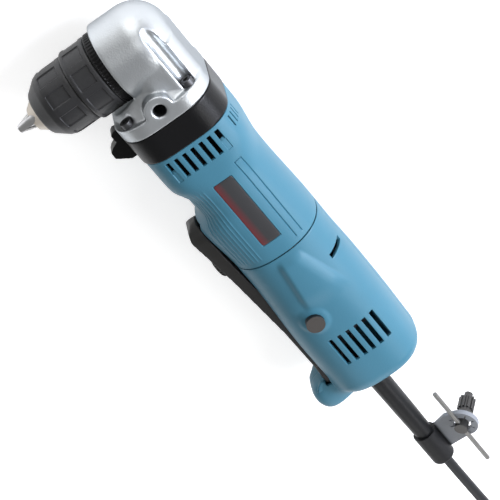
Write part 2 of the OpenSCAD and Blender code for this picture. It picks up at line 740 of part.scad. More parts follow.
module armature_core() color("#7d8186") place() along_x(stack_x, stack_len) difference() {
  circle(armature_r);
  circle(shaft_r + seat_gap);
  for (k = [1:armature_slots]) rotate(k * 360 / armature_slots) 
    translate([armature_r - slot_deep, -slot_w / 2]) square([slot_deep + 1, slot_w]);
}

module armature_windings() color("#b06a34") place() {
  for (x = [stack_x - winding_len, stack_end]) turned_x(x) difference() {
    translate([shaft_r + 1, 0]) square([armature_r - shaft_r - 2, winding_len]);
    translate([armature_r - 1, x < stack_x ? 0 : winding_len]) circle(2.4);
  }
  for (k = [1:armature_slots]) rotate([k * 360 / armature_slots, 0, 0])
    translate([stack_x - 0.1, armature_r - slot_deep + 0.1, 0.1 - slot_w / 2])
      cube([stack_len + 0.2, slot_deep - 1.4, slot_w - 0.2]);
}

module commutator() color("#b87333") place() along_x(commutator_x, commutator_len) difference() {
  circle(commutator_r);
  circle(shaft_r + seat_gap);
  for (k = [1:commutator_bars]) rotate(k * 360 / commutator_bars)
    translate([commutator_r - 0.8, -0.2]) square([2, 0.4]);
}

module fan() color("#2a2c2f") place() difference() {
  union() {
    rod_x(fan_x, fan_len, shaft_r + 2.5);
    rod_x(fan_x + fan_len - 1.6, 1.6, fan_r);
    for (k = [1:fan_blades]) rotate([k * 360 / fan_blades, 0, 0]) translate([fan_x, shaft_r + 1, -0.6])
      cube([fan_len, fan_r - shaft_r - 1.4, 1.2]);
  }
  rod_x(fan_x - 1, fan_len + 2, shaft_r + seat_gap);
}

module countershaft() color("#b9bdc2") place() translate([0, y_counter, 0]) {
  rod_x(bevel_gear_r * (1 - bevel_face), counter_front_x - 0.4 - bevel_gear_r * (1 - bevel_face), counter_tip_r);
  rod_x(counter_front_x - 0.5, counter_rear_x - counter_front_x - 0.1, counter_r);
  rod_x(counter_rear_x - 0.7, counter_rear_brg[2] + 0.6, counter_rear_r);
}

// Straight bevel teeth, drawn at the large end and shrunk towards the cone's point
module bevel_teeth(teeth, cone_h, first) {
  lean = cos(atan(teeth * bevel_m / 2 / cone_h));
  linear_extrude(cone_h * bevel_face, scale = 1 - bevel_face)
    gear_outline(teeth, bevel_m, bevel_height / lean, bevel_depth / lean, 0.5, 0.22, first);
}

module bevel_pinion() color("#9a9ea3") place() translate([0, y_counter, 0]) difference() {
  union() {
    translate([bevel_gear_r, 0, 0]) rotate([0, 0, 180]) rotate([90, 0, 90])
      bevel_teeth(bevel_pinion_teeth, bevel_gear_r, 0);
    rod_x(bevel_gear_r - 0.1, counter_front_x - 0.5 - bevel_gear_r, bevel_pinion_r - 1);
  }
  rod_x(bevel_gear_r / 2, 20, counter_tip_r + seat_gap);
}

module reduction_gear() color("#9a9ea3") place() translate([0, y_counter, 0]) difference() {
  along_x(wheel_x, spur_face)
    gear_outline(wheel_teeth, spur_m, tooth_height, tooth_depth, 0.48, 0.22, 180 + 180 / wheel_teeth);
  rod_x(wheel_x - 1, spur_face + 2, counter_r + seat_gap);
}

module spindle() color("#b9bdc2") place() {
  rod_y(-boss_y - s_rear - 12, 12 + s_rear + boss_y + spindle_front_y - 0.3, 5);
  rod_y(spindle_front_y - 0.4, spindle_front_brg[2] + 0.8, spindle_r);
  rod_y(-0.7, spindle_rear_y + 0.3, 5);
  rod_y(spindle_rear_y - 0.5, spindle_rear_brg[2] + 0.4, spindle_top_r);
}

module bevel_gear() color("#9a9ea3") place() difference() {
  union() {
    translate([0, y_counter - bevel_pinion_r, 0]) rotate([-90, 0, 0])
      bevel_teeth(bevel_gear_teeth, bevel_pinion_r, 180 / bevel_gear_teeth);
    turned_y(0) {
      translate([0, -0.2]) square([8, y_counter - bevel_pinion_r]);
      translate([0, y_counter - bevel_pinion_r - 2.4]) square([bevel_gear_r - 2.6, 2.5]);
    }
  }
  rod_y(-2, 20, 5 + seat_gap);
}

module chuck_axis_jaws() for (k = [0:2]) rotate([0, k * 120, 0]) children();

// Line of travel of a jaw: from its tip on the chuck axis back and outwards
module jaw_line(from, len, r)
  translate([0, -boss_y - s_tip, 0]) translate([2.2, 0, 0]) rotate([0, 0, -jaw_slant]) rod_y(from, len, r);

module chuck_body() color("#cfc8ba") place() difference() {
  chuck_turned() polygon([
    [0, s_rear], [hub_r, s_rear], [hub_r, s_rear + 2], [core_r, s_rear + 3], [core_r, s_front + 15],
    [nose_r, s_nose - 4], [nose_r, s_nose + 0.4], [nose_tip_r, s_face], [0, s_face]
  ]);
  chuck_turned() translate([0, s_rear - 1]) square([5 + seat_gap, 13.1]);
  chuck_turned() translate([0, s_rear]) square([2 + seat_gap, s_face]);
  chuck_turned() translate([0, s_rear + 20]) square([5.4, s_face]);
  chuck_axis_jaws() jaw_line(-5, 70, jaw_r + run_gap);
}

module chuck_screw() color("#3a3c40") place() translate([0, -boss_y, 0]) rotate([90, 0, 0]) {
  translate([0, 0, s_rear + 12.1]) cylinder(h = 8, r = 2);
  translate([0, 0, s_rear + 20]) cylinder(h = 3, r = 4);
}

module rear_sleeve() color("#33353a") place() chuck_turned() difference() {
  translate([0, s_rear]) square([rear_sleeve_r, rear_sleeve_len]);
  translate([0, s_rear - 1]) square([hub_r + seat_gap, 4]);
  translate([0, s_rear + 2]) square([sleeve_bore_r, rear_sleeve_len]);
  translate([rear_sleeve_r, s_groove]) circle(0.8);
}

module front_sleeve() color("#33353a") place() chuck_turned() difference() {
  polygon([
    [0, s_front], [front_sleeve_r, s_front], [front_sleeve_r, s_front + 13], [cone_top_r, s_front + 18.5],
    [cone_end_r, s_nose], [0, s_nose]
  ]);
  translate([0, s_front - 1]) square([sleeve_bore_r, 13]);
  polygon([
    [0, s_front], [sleeve_bore_r, s_front], [sleeve_bore_r, s_front + 12], [cone_bore_r, s_front + 15],
    [nose_bore_r, s_nose - 4], [nose_bore_r, s_nose + 1], [0, s_nose + 1]
  ]);
}

module jaw_nut() color("#9a9ea3") place() chuck_turned() translate([nut_r, s_front + nut_s])
  square([sleeve_bore_r - seat_gap - nut_r, nut_len]);

module jaw(k) color("#d5d8dc") place() rotate([0, k * 120, 0]) difference() {
  intersection() {
    jaw_line(-8, jaw_len + 8, jaw_r);
    chuck_turned() polygon([[0, 0], [30, 0], [30, s_face + 1.2 - 60], [4.5, s_face + 1.2], [2.2, s_tip], [0, s_tip]]);
  }
  translate([0, -boss_y - s_tip - 1, 0]) rod_y(0, 40, grip_r);
  for (s = [0, 1]) mirror([0, 0, s]) rotate([0, -60, 0]) translate([-40, -100, -run_gap]) cube([80, 100, 40]);
}

module jaw_1() jaw(0);
module jaw_2() jaw(1);
module jaw_3() jaw(2);

// Plan of the paddle seen from the chuck side: a round nose and straight sides, drawn in by an inset
module paddle_plan(inset) {
  translate([paddle_x + paddle_half, 0, 0]) rod_y(-cut_len, cut_len, paddle_half - inset);
  translate([paddle_x + paddle_half, -cut_len, -paddle_half + inset])
    cube([x_tail - paddle_x, cut_len, 2 * (paddle_half - inset)]);
}

module switch_paddle() color("#1d1f21") place() difference() {
  union() {
    intersection() {
      paddle_plan(0);
      along_z(-paddle_half, 2 * paddle_half) polygon([
        [paddle_x, -body_floor - 4.8], [paddle_x + 0.6, -paddle_drop + 4.3], [paddle_x + 3, -paddle_drop + 1.2],
        [paddle_x + 7, -paddle_drop], [paddle_x + 25, -paddle_drop + 2], [paddle_x + 43, -paddle_drop + 3.7],
        [plunger_x, -body_floor - 7], [pin_x - 9, -body_floor - 6.6], [pin_x - 9, paddle_top],
        [inner_paddle_x + 4, paddle_top], [inner_paddle_x, -body_floor - 2.3], [x_seam, -body_floor - 3.4]
      ]);
    }
    along_z(-tongue_half, 2 * tongue_half) {
      translate([pin_x - 11, -pin_drop - 2.6]) square([11, 6]);
      translate([pin_x, -pin_drop]) circle(3.6);
    }
  }
  translate([pin_x, -pin_drop, -20]) cylinder(h = 40, r = pin_r + run_gap);
  intersection() {
    paddle_plan(2);
    along_z(-paddle_half + 2, 2 * paddle_half - 4) polygon([
      [paddle_x, 5.4 - body_floor], [paddle_x, -paddle_drop + 4.6], [paddle_x + 6, -paddle_drop + 3],
      [paddle_x + 40, -paddle_drop + 6.4], [inner_paddle_x - 6, -body_floor - 5.6],
      [inner_paddle_x - 6, 5.4 - body_floor]
    ]);
  }
  dial_place() translate([0, 0, -0.9]) cylinder(h = 4, r = dial_r + 0.3);
  dial_place() translate([0, 0, -6]) cylinder(h = 12, r = 1.5 + run_gap);
}

// Seat of the speed dial on the sloping face of the paddle
module dial_place()
  translate([paddle_x + 34, -paddle_drop + 2.85, 0]) rotate([0, 0, dial_slope]) rotate([90, 0, 0]) children();

module speed_dial() color("#2c2e31") place() dial_place() {
  translate([0, 0, -0.5]) cylinder(h = dial_h + 0.5, r = dial_r);
  translate([0, 0, -4]) cylinder(h = 5, r = 1.5);
}

module lock_button() color("#54504c") place() translate([button_x, -button_drop, 0]) {
  translate([0, 0, body_half - 4.5 + button_travel + 0.4]) cylinder(h = 4.6, r = button_r);
  translate([0, 0, switch_half + button_travel + 0.4]) cylinder(h = body_half - switch_half - 1.5, r = button_r - 2);
}

module cord_guard() color("#17181a") place() translate([0, -cord_drop, 0]) difference() {
  union() {
    rod_x(x_tail - 7, 7.2, guard_r);
    translate([x_tail - 0.1, 0, 0]) rotate([0, 90, 0]) cylinder(h = guard_len + 0.1, r1 = guard_r, r2 = guard_r - 0.8);
    rod_x(x_tail - cover_wall - 3.2, 3, guard_r + 1.6);
  }
  rod_x(x_tail - 20, guard_len + 40, cord_d / 2 + seat_gap);
}

// Frame of the key: its own Z axis runs down through the disc of the holder
module key_frame() translate([disc_x, disc_y, disc_z]) rotate([180 + plate_tilt, 0, 0]) children();

module key_holder() color("#3a3d40") place() difference() {
  union() {
    translate([0, -cord_drop, 0]) turned_x(holder_x) rounded_end(holder_r, holder_len, 2);
    key_frame() translate([0, 0, -plate_t / 2]) linear_extrude(plate_t) {
      circle(disc_r);
      polygon([
        [-disc_r, 0], [disc_r, 0], [holder_len - 6, plate_reach], [holder_x - disc_x + 0.2, plate_reach],
        [holder_x - disc_x + 0.2, plate_reach - 8], [-disc_r, disc_r - 2]
      ]);
    }
  }
  translate([0, -cord_drop, 0]) {
    rod_x(holder_x - 1, guard_end - holder_x + 1, guard_r - 0.8 + seat_gap);
    rod_x(holder_x - 1, holder_len + 2, cord_d / 2 + seat_gap);
  }
  key_frame() {
    translate([0, 0, -20]) cylinder(h = 40, r = key_hole_r);
    for (k = [1:star_slots]) rotate([0, 0, k * 360 / star_slots]) translate([0, -0.5, -10]) cube([8, 1, 20]);
  }
}

module key_body() color("#9ea2a7") place() key_frame() difference() {
  union() {
    translate([0, 0, -plate_t / 2 - 0.3 - key_head_h]) cylinder(h = key_head_h + key_shank_len, r = key_shank_r);
    translate([0, 0, key_teeth_x]) linear_extrude(key_shank_len - key_teeth_x)
      gear_outline(11, 0.85, 0.5, 0.6, 0.6, 0.3, 0);
    translate([0, 0, key_shank_len - 3]) cylinder(h = key_pilot_len + 3, r = 2.6);
  }
  translate([0, 0, -plate_t / 2 - 0.3 - key_bar_r]) rotate([0, 90, 0]) translate([0, 0, -20])
    cylinder(h = 40, r = key_bar_r + seat_gap);
}

module key_bar() color("#9ea2a7") place() key_frame() translate([0, 0, -plate_t / 2 - 0.3 - key_bar_r])
  rotate([0, 90, 0]) translate([0, 0, -key_bar_len / 2]) cylinder(h = key_bar_len, r = key_bar_r);

// Tube swept along points as rings of flat sides, closed at both ends
function unit(v) = v / norm(v);
function heading(p, i) = unit(p[min(i + 1, len(p) - 1)] - p[max(i - 1, 0)]);
function ring_at(p, i, r, sides) =
  let (t = heading(p, i), a = unit(cross(t, [0, 0, 1])), b = cross(a, t))
    [for (k = [0:sides - 1]) p[i] + r * (cos(k * 360 / sides) * a + sin(k * 360 / sides) * b)];
module swept_tube(p, r, sides) {
  n = len(p);
  points = [for (i = [0:n - 1]) each ring_at(p, i, r, sides)];
  wall = [for (i = [0:n - 2], k = [0:sides - 1]) let (a = i * sides + k, b = i * sides + (k + 1) % sides)
    each [[a, a + sides, b], [b, a + sides, b + sides]]];
  first = [for (k = [1:sides - 2]) [0, k, k + 1]];
  last = [for (k = [1:sides - 2]) let (o = (n - 1) * sides) [o, o + k + 1, o + k]];
  polyhedron(points = points, faces = concat(wall, first, last), convexity = 6);
}

module power_cord() color("#111213") place() swept_tube(cord_route, cord_d / 2, 8);

// Coil path: each layer spirals in or out, and half a turn of reversal climbs to the next layer
layer_turns = coil_turns + 0.5;
function coil_radius_step(u) = u < coil_turns ? u : coil_turns + (u - coil_turns) - 2 * pow(u - coil_turns, 2);
function coil_point(t) =
  let (
    layer = min(floor(t / layer_turns), coil_layers - 1),
    u = t - layer * layer_turns,
    way = layer % 2 == 0 ? -1 : 1,
    inner = coil_r - coil_turns * coil_pitch / 2,
    r = way < 0 ? inner + coil_turns * coil_pitch - coil_pitch * coil_radius_step(u)
      : inner + coil_pitch * coil_radius_step(u),
    climb = max(0, u - coil_turns) / 0.5,
    z = coil_z + (coil_layers - 1 - layer - climb) * coil_pitch
  ) [r, t * 360, z];
coil_end = coil_layers * layer_turns - 0.5;
coil_count = round(coil_end * coil_steps);
coil_start_r = coil_r + coil_turns * coil_pitch / 2;
coil_cy = -cord_drop - coil_start_r;
function coil_xyz(q) = [coil_x + q[0] * sin(q[1]), coil_cy + q[0] * cos(q[1]), q[2]];
coil_turn_points = [for (i = [0:coil_count]) coil_xyz(coil_point(i / coil_steps))];
coil_route = concat(
  [coil_turn_points[0] - [cord_d, 0, 0]], coil_turn_points,
  [coil_turn_points[coil_count] + cord_d * unit(coil_turn_points[coil_count] - coil_turn_points[coil_count - 1])]
);
coil_gap = min([for (i = [0:2:coil_count], j = [i + coil_steps / 2:2:coil_count])
  norm(coil_turn_points[i] - coil_turn_points[j])]) - cord_d;
echo(coil_gap = coil_gap);

module cord_coil() color("#111213") place() swept_tube(coil_route, cord_d / 2, coil_sides);

// Strap loop round the bundle of turns
tie_t = 0.9;
tie_w = 6;
bundle_in = coil_r - (coil_turns / 2 + 0.125) * coil_pitch - cord_d / 2;
bundle_out = coil_r + (coil_turns / 2 + 0.125) * coil_pitch + cord_d / 2;
bundle_h = coil_floor + cord_d + (coil_layers - 1) * coil_pitch;
module coil_tie() color("#1a1b1d") place() translate([coil_x, coil_cy + tie_w / 2, -body_half]) rotate([90, 0, 0])
  linear_extrude(tie_w) difference() {
    translate([bundle_in - 0.3 - tie_t, 0]) square([bundle_out - bundle_in + 2 * (tie_t + 0.3), bundle_h + 0.3 + tie_t]);
    translate([bundle_in - 0.3, tie_t]) square([bundle_out - bundle_in + 0.6, bundle_h + 0.3 - tie_t]);
  }

// Plug beside the coil, in line with the end of the cord
plug_len = 30;
plug_half = 11;
plug_h = 12;
plug_sleeve = 8;
blade_gap = 12.7;
plug_end = coil_route[coil_count + 2];
plug_front = plug_end[0] - plug_sleeve - plug_len;
module plug_body() color("#141516") place() {
  translate([plug_end[0] - plug_sleeve, plug_end[1], coil_z]) rod_x(-0.1, plug_sleeve + 0.1, cord_d / 2 + 0.9);
  translate([0, 0, -body_half]) linear_extrude(plug_h) translate([plug_front, plug_end[1]]) {
    translate([0, -plug_half]) square([plug_len - 8, 2 * plug_half]);
    translate([plug_len - 8.1, -plug_half + 4]) square([8.1, 2 * plug_half - 8]);
    for (s = [-1, 1]) translate([plug_len - 8, s * (plug_half - 4)]) circle(4);
  }
}

module plug_blades() color("#c9a14a") place() for (s = [-1, 1])
  translate([plug_front - 17, plug_end[1] + s * blade_gap / 2 - 0.75, -body_half + plug_h / 2 - 3.15])
    cube([17, 1.5, 6.3]);

gear_housing();
spindle_cover();
housing_screws();
gear_case();
motor_housing();
label_plate();
field_core();
field_coils();
baffle_plate();
front_motor_bearing();
rear_motor_bearing();
brush_holders();
carbon_brushes();
brush_springs();
rear_cover_left();
rear_cover_right();
rear_cover_screws();
spindle_front_bearing();
spindle_rear_bearing();
countershaft_front_bearing();
countershaft_rear_bearing();
switch_body();
paddle_pin();
cord_clamp();
clamp_screws();
armature_shaft();
armature_core();
armature_windings();
commutator();
fan();
motor_pinion();
countershaft();
bevel_pinion();
reduction_gear();
spindle();
bevel_gear();
chuck_body();
rear_sleeve();
chuck_screw();
front_sleeve();
jaw_nut();
jaw_1();
jaw_2();
jaw_3();
switch_paddle();
speed_dial();
switch_plunger();
lock_button();
cord_guard();
key_holder();
key_body();
key_bar();
power_cord();
cord_coil();
coil_tie();
plug_body();
plug_blades();
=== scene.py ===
import math

import bmesh
import bpy
import numpy as np
from mathutils import Matrix, Vector


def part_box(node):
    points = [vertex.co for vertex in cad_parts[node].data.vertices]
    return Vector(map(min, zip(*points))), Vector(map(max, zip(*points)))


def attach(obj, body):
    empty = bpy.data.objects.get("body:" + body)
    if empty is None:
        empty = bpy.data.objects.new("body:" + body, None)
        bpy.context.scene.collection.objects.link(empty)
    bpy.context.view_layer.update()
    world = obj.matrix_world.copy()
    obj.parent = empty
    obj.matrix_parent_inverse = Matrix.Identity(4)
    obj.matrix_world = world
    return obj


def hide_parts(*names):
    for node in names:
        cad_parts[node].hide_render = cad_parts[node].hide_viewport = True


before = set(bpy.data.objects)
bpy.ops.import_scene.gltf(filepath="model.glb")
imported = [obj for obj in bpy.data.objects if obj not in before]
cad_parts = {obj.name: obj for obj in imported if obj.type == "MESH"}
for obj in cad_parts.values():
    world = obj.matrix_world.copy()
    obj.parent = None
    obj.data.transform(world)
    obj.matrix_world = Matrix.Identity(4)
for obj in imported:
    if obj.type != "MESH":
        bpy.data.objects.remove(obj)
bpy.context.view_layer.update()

# Camera. A long lens stands off in front of the gear head, above the tool and behind its back,
# and is rolled so that the body runs from the upper left of the picture to the lower right.
camera_place = (-0.532779, 0.224036, 0.966194)
camera_right = Vector((0.564155, 0.812375, 0.143534))
camera_up = Vector((-0.655761, 0.547062, -0.519447))
camera_data = bpy.data.cameras.new("photo_camera")
camera_data.sensor_width = 36.0
camera_data.lens = 144.0
camera_data.clip_end = 20.0
camera = bpy.data.objects.new("photo_camera", camera_data)
bpy.context.scene.collection.objects.link(camera)
camera_axes = Matrix((camera_right, camera_up, camera_right.cross(camera_up))).transposed()
camera.matrix_world = Matrix.Translation(camera_place) @ camera_axes.to_4x4()
bpy.context.scene.camera = camera

# Power cord. A round two-core flex in black vinyl runs out of the rubber guard along the motor
# axis, sinks to the floor and is wound into a packed coil of four layers, with its plug at the end.
MM = 0.001
spindle_low, spindle_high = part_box("spindle")
shaft_low, shaft_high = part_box("armature_shaft")
tool_origin = np.array([
    (spindle_low.x + spindle_high.x) / 2,
    (shaft_low.y + shaft_high.y) / 2,
    (shaft_low.z + shaft_high.z) / 2,
])


def to_row(points):
    """Row frame point in metres of a point in millimetres from where the spindle meets the motor axis:
    a thousandth of it, plus that meeting point."""
    return np.asarray(points, float) * MM + tool_origin


def grid_quads(rows, columns, ring):
    """Corner numbers of the quads of a grid of points: each joins a point to its neighbours along
    the row and in the next row; in a ring the last column joins the first."""
    across = np.arange(columns if ring else columns - 1)
    start = (np.arange(rows - 1) * columns)[:, None] + across
    beside = (np.arange(rows - 1) * columns)[:, None] + (across + 1) % columns
    return np.stack([start, beside, beside + columns, start + columns], -1).reshape(-1, 4)


def make_piece(name, points, faces, body, material, nodes=(), crease=40.0):
    """A piece from points in millimetres and its faces: doubled points are merged, so poles and
    seams close, and edges sharper than the crease angle in degrees stay sharp."""
    mesh = bpy.data.meshes.new(name)
    mesh.from_pydata(to_row(points).tolist(), [], [list(f) for f in faces])
    work = bmesh.new()
    work.from_mesh(mesh)
    bmesh.ops.remove_doubles(work, verts=work.verts, dist=1e-6)
    bmesh.ops.dissolve_degenerate(work, edges=work.edges, dist=1e-7)
    bmesh.ops.recalc_face_normals(work, faces=work.faces)
    work.to_mesh(mesh)
    work.free()
    mesh.shade_smooth()
    mesh.set_sharp_from_angle(angle=math.radians(crease))
    mesh.materials.append(material)
    piece = bpy.data.objects.new(name, mesh)
    bpy.context.scene.collection.objects.link(piece)
    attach(piece, body)
    if nodes:
        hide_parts(*nodes)
    return piece


def tube_rings(path, radius, sides):
    """Rings of points round a path: each lies square to the path's heading, on a level axis
    across the heading and the axis square to both."""
    path = np.asarray(path, float)
    heading = np.gradient(path, axis=0)
    heading /= np.linalg.norm(heading, axis=1, keepdims=True)
    level = np.cross(heading, [0.0, 0.0, 1.0])
    level /= np.linalg.norm(level, axis=1, keepdims=True)
    rise = np.cross(level, heading)
    turn = np.linspace(0, 2 * np.pi, sides, endpoint=False)
    radius = np.broadcast_to(np.asarray(radius, float), len(path))[:, None, None]
    return path[:, None] + radius * (
        np.cos(turn)[None, :, None] * level[:, None] + np.sin(turn)[None, :, None] * rise[:, None])


def closed_tube(path, radius, sides):
    """Points and quads of a tube with both ends shut: the end rings are drawn in to the path's ends."""
    rings = tube_rings(path, radius, sides)
    path = np.asarray(path, float)
    first = np.broadcast_to(path[0], rings[:1].shape)
    last = np.broadcast_to(path[-1], rings[:1].shape)
    rings = np.concatenate([first, rings, last])
    return rings.reshape(-1, 3), grid_quads(len(rings), sides, True)


def plain_finish(name, colour, rough, metal=0.0, grain=0.0, grain_size=900.0, gloss=0.5, mottle=0.06):
    """One solid finish: a base colour with a faint mottle of noise, and a fine bump of noise as grain."""
    material = bpy.data.materials.new(name)
    material.use_nodes = True
    nodes, links = material.node_tree.nodes, material.node_tree.links
    shader = nodes["Principled BSDF"]
    shader.inputs["Metallic"].default_value = metal
    shader.inputs["Roughness"].default_value = rough
    shader.inputs["Specular IOR Level"].default_value = gloss
    place = nodes.new("ShaderNodeTexCoord")
    cloud = nodes.new("ShaderNodeTexNoise")
    cloud.inputs["Scale"].default_value = 55.0
    cloud.inputs["Detail"].default_value = 4.0
    links.new(place.outputs["Object"], cloud.inputs["Vector"])
    tint = nodes.new("ShaderNodeMix")
    tint.data_type = "RGBA"
    tint.inputs["A"].default_value = (*[c * (1 - mottle) for c in colour], 1)
    tint.inputs["B"].default_value = (*[min(1.0, c * (1 + mottle)) for c in colour], 1)
    links.new(cloud.outputs["Fac"], tint.inputs["Factor"])
    links.new(tint.outputs["Result"], shader.inputs["Base Color"])
    if grain:
        speck = nodes.new("ShaderNodeTexNoise")
        speck.inputs["Scale"].default_value = grain_size
        speck.inputs["Detail"].default_value = 3.0
        links.new(place.outputs["Object"], speck.inputs["Vector"])
        bump = nodes.new("ShaderNodeBump")
        bump.inputs["Strength"].default_value = grain
        bump.inputs["Distance"].default_value = 0.0002
        links.new(speck.outputs["Fac"], bump.inputs["Height"])
        links.new(bump.outputs["Normal"], shader.inputs["Normal"])
    return material


cord_d = 6.0
cord_drop = -10.0
cord_sides = 20
free_x = np.array([
    217, 233, 250, 265, 280, 295, 310, 325, 340, 354, 367, 380, 393, 406, 419, 432, 443, 454.0])
free_sink = np.array([0, 0, 0, 0, 0, 0, 0, 0, 0, 0, -0.4, -1, -1.8, -2.6, -3.3, -3.8, -4, -4.0])
free_route = np.stack([free_x, np.full_like(free_x, cord_drop), free_sink], -1)
coil_centre = np.array([460.0, -50.425])
coil_pitch = 6.6
coil_outer = 40.425
coil_inner = 25.575
coil_floor = -23.8
layer_turns, climb_turns, layers = 2.25, 0.5, 4
coil_turns, coil_points = 10.5, 505
turn = np.linspace(0, coil_turns, coil_points)
layer = np.minimum(np.floor(turn / (layer_turns + climb_turns)), layers - 1)
in_layer = turn - layer * (layer_turns + climb_turns)
climb = np.maximum(0, in_layer - layer_turns)
step = np.where(climb > 0, layer_turns + climb - 2 * climb**2, in_layer)
coil_radius = np.where(layer % 2 == 0, coil_outer - coil_pitch * step, coil_inner + coil_pitch * step)
coil_z = coil_floor + (layers - 1 - layer - climb / climb_turns) * coil_pitch
coil_route = np.stack([
    coil_centre[0] + coil_radius * np.sin(2 * np.pi * turn),
    coil_centre[1] + coil_radius * np.cos(2 * np.pi * turn),
    coil_z,
], -1)
plug_lead = coil_route[-1] + np.array([[-cord_d, 0, 0]])
guard_reach = 337.0
in_guard = free_route[free_x < guard_reach]
leaving = np.array([[guard_reach, cord_drop, 0.0]])
cord_route = np.concatenate([leaving, free_route[free_x > guard_reach], coil_route, plug_lead])
cord_vinyl = plain_finish("cord_vinyl", (0.015, 0.016, 0.018), 0.42, grain=0.15, gloss=0.28)
points, faces = closed_tube(np.concatenate([in_guard, leaving]), cord_d / 2, cord_sides)
cord_root = make_piece("flex_in_guard", points, faces, "housing", cord_vinyl)
points, faces = closed_tube(cord_route, cord_d / 2, cord_sides)
cord = make_piece("flex", points, faces, "housing", cord_vinyl, ("power_cord", "cord_coil"))

# Coil tie, plug and blades. The coil is held by a black nylon strap; a moulded vinyl plug with
# two flat brass blades is cast round the end of the flex.
tie_nylon = plain_finish("tie_nylon", (0.016, 0.016, 0.018), 0.5, grain=0.2)
plug_vinyl = plain_finish("plug_vinyl", (0.02, 0.021, 0.023), 0.38, grain=0.25)
blade_brass = plain_finish("blade_brass", (0.62, 0.47, 0.2), 0.28, metal=1.0)


def dress(node, material):
    """A CAD node shown as it is, in one finish."""
    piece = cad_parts[node]
    piece.data.materials.clear()
    piece.data.materials.append(material)
    return piece


tie = dress("coil_tie", tie_nylon)
plug = dress("plug_body", plug_vinyl)
blades = dress("plug_blades", blade_brass)

# Cord guard. A soft black rubber sleeve, moulded round the flex and held in the tail between the
# two cover halves, tapers to its end and keeps the flex from kinking.
guard_rubber = plain_finish(
    "guard_rubber", (0.011, 0.0112, 0.012), 0.4, grain=0.3, grain_size=600, gloss=0.22)
dress("cord_guard", guard_rubber)

# Chuck key and its holder. A black rubber collar grips the end of the guard; its flat grey tongue
# ends in a slit disc, and the dark steel key is pushed through the disc with its cross bar above it.
collar_black, tongue_grey = (0.009, 0.009, 0.01), (0.27, 0.285, 0.31)
holder_rubber = plain_finish("holder_rubber", tongue_grey, 0.5, grain=0.3, grain_size=500, gloss=0.25)
key_steel = plain_finish("key_steel", (0.075, 0.073, 0.072), 0.36, metal=0.85, grain=0.1)
bar_steel = plain_finish("bar_steel", (0.21, 0.207, 0.2), 0.34, metal=0.9, grain=0.1)


def two_tone(material, centre, axes, start, end, near, far=None):
    """Gives a finish two colours: the distance from a centre in millimetres, measured only along the
    axes marked with 1, passes from start to end as the colour passes from near to far, or to the
    finish's own mottled colour where far isn't given."""
    tree = material.node_tree
    base = tree.nodes["Principled BSDF"].inputs["Base Color"]
    place = tree.nodes.new("ShaderNodeTexCoord")
    shift, pick, measure = (tree.nodes.new("ShaderNodeVectorMath") for _ in range(3))
    shift.operation, pick.operation, measure.operation = "SUBTRACT", "MULTIPLY", "LENGTH"
    shift.inputs[1].default_value = to_row(centre)
    pick.inputs[1].default_value = axes
    share = tree.nodes.new("ShaderNodeMapRange")
    share.inputs["From Min"].default_value = start * MM
    share.inputs["From Max"].default_value = end * MM
    paint = tree.nodes.new("ShaderNodeMix")
    paint.data_type = "RGBA"
    paint.inputs["A"].default_value = (*near, 1)
    if far:
        paint.inputs["B"].default_value = (*far, 1)
    else:
        tree.links.new(base.links[0].from_socket, paint.inputs["B"])
    tree.links.new(place.outputs["Object"], shift.inputs[0])
    tree.links.new(shift.outputs["Vector"], pick.inputs[0])
    tree.links.new(pick.outputs["Vector"], measure.inputs[0])
    tree.links.new(measure.outputs["Value"], share.inputs["Value"])
    tree.links.new(share.outputs["Result"], paint.inputs["Factor"])
    tree.links.new(paint.outputs["Result"], base)


collar_reach, tongue_start = 7.6, 9.5
two_tone(
    holder_rubber, (0, cord_drop, 0), (0, 1, 1), collar_reach, tongue_start, collar_black, tongue_grey)
dress("key_holder", holder_rubber)
dress("key_body", key_steel)
dress("key_bar", bar_steel)

# Gear head. The housing is cast in aluminium and shot-blasted to a satin skin, with soft corners,
# two tapped bosses for a side grip, and a flange that four socket screws draw to the gear case.
head_alloy = plain_finish(
    "head_alloy", (0.585, 0.61, 0.625), 0.39, metal=0.94, grain=0.5, grain_size=1100, mottle=0.05)
edge_tint = (0.25, 0.26, 0.27, 1.0)
head_alloy.node_tree.nodes["Principled BSDF"].inputs["Specular Tint"].default_value = edge_tint
grip_hole_x, grip_hole_r = 24.7, 3.4
# Painted shade: the alloy inside the grip hole's bore is coloured dark grey to stand in for the shade that
# falls in the hole.
painted_hole_shade = (0.14, 0.145, 0.15)
two_tone(head_alloy, (grip_hole_x, 0, 0), (1, 1, 0), grip_hole_r + 0.1, grip_hole_r + 0.5, painted_hole_shade)


def soft_copy(name, node, body, material, cell, rounds):
    """Puts a soft-edged copy in a CAD node's place: its loose triangles are merged, the skin is rebuilt
    on a cubic grid of the given cell, and in each round every point is drawn toward the mean of its
    neighbours."""
    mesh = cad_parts[node].data.copy()
    mesh.name = name
    work = bmesh.new()
    work.from_mesh(mesh)
    bmesh.ops.remove_doubles(work, verts=work.verts, dist=1e-6)
    work.to_mesh(mesh)
    work.free()
    mesh.materials.clear()
    mesh.materials.append(material)
    piece = bpy.data.objects.new(name, mesh)
    bpy.context.scene.collection.objects.link(piece)
    skin = piece.modifiers.new("skin", "REMESH")
    skin.mode = "VOXEL"
    skin.voxel_size = cell * MM
    skin.use_smooth_shade = True
    soften = piece.modifiers.new("soften", "SMOOTH")
    soften.factor = 0.5
    soften.iterations = rounds
    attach(piece, body)
    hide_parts(node)


soft_copy("head_casting", "gear_housing", "housing", head_alloy, cell=0.5, rounds=22)
screw_steel = plain_finish("screw_steel", (0.1, 0.1, 0.105), 0.4, metal=0.8)
dress("housing_screws", screw_steel)

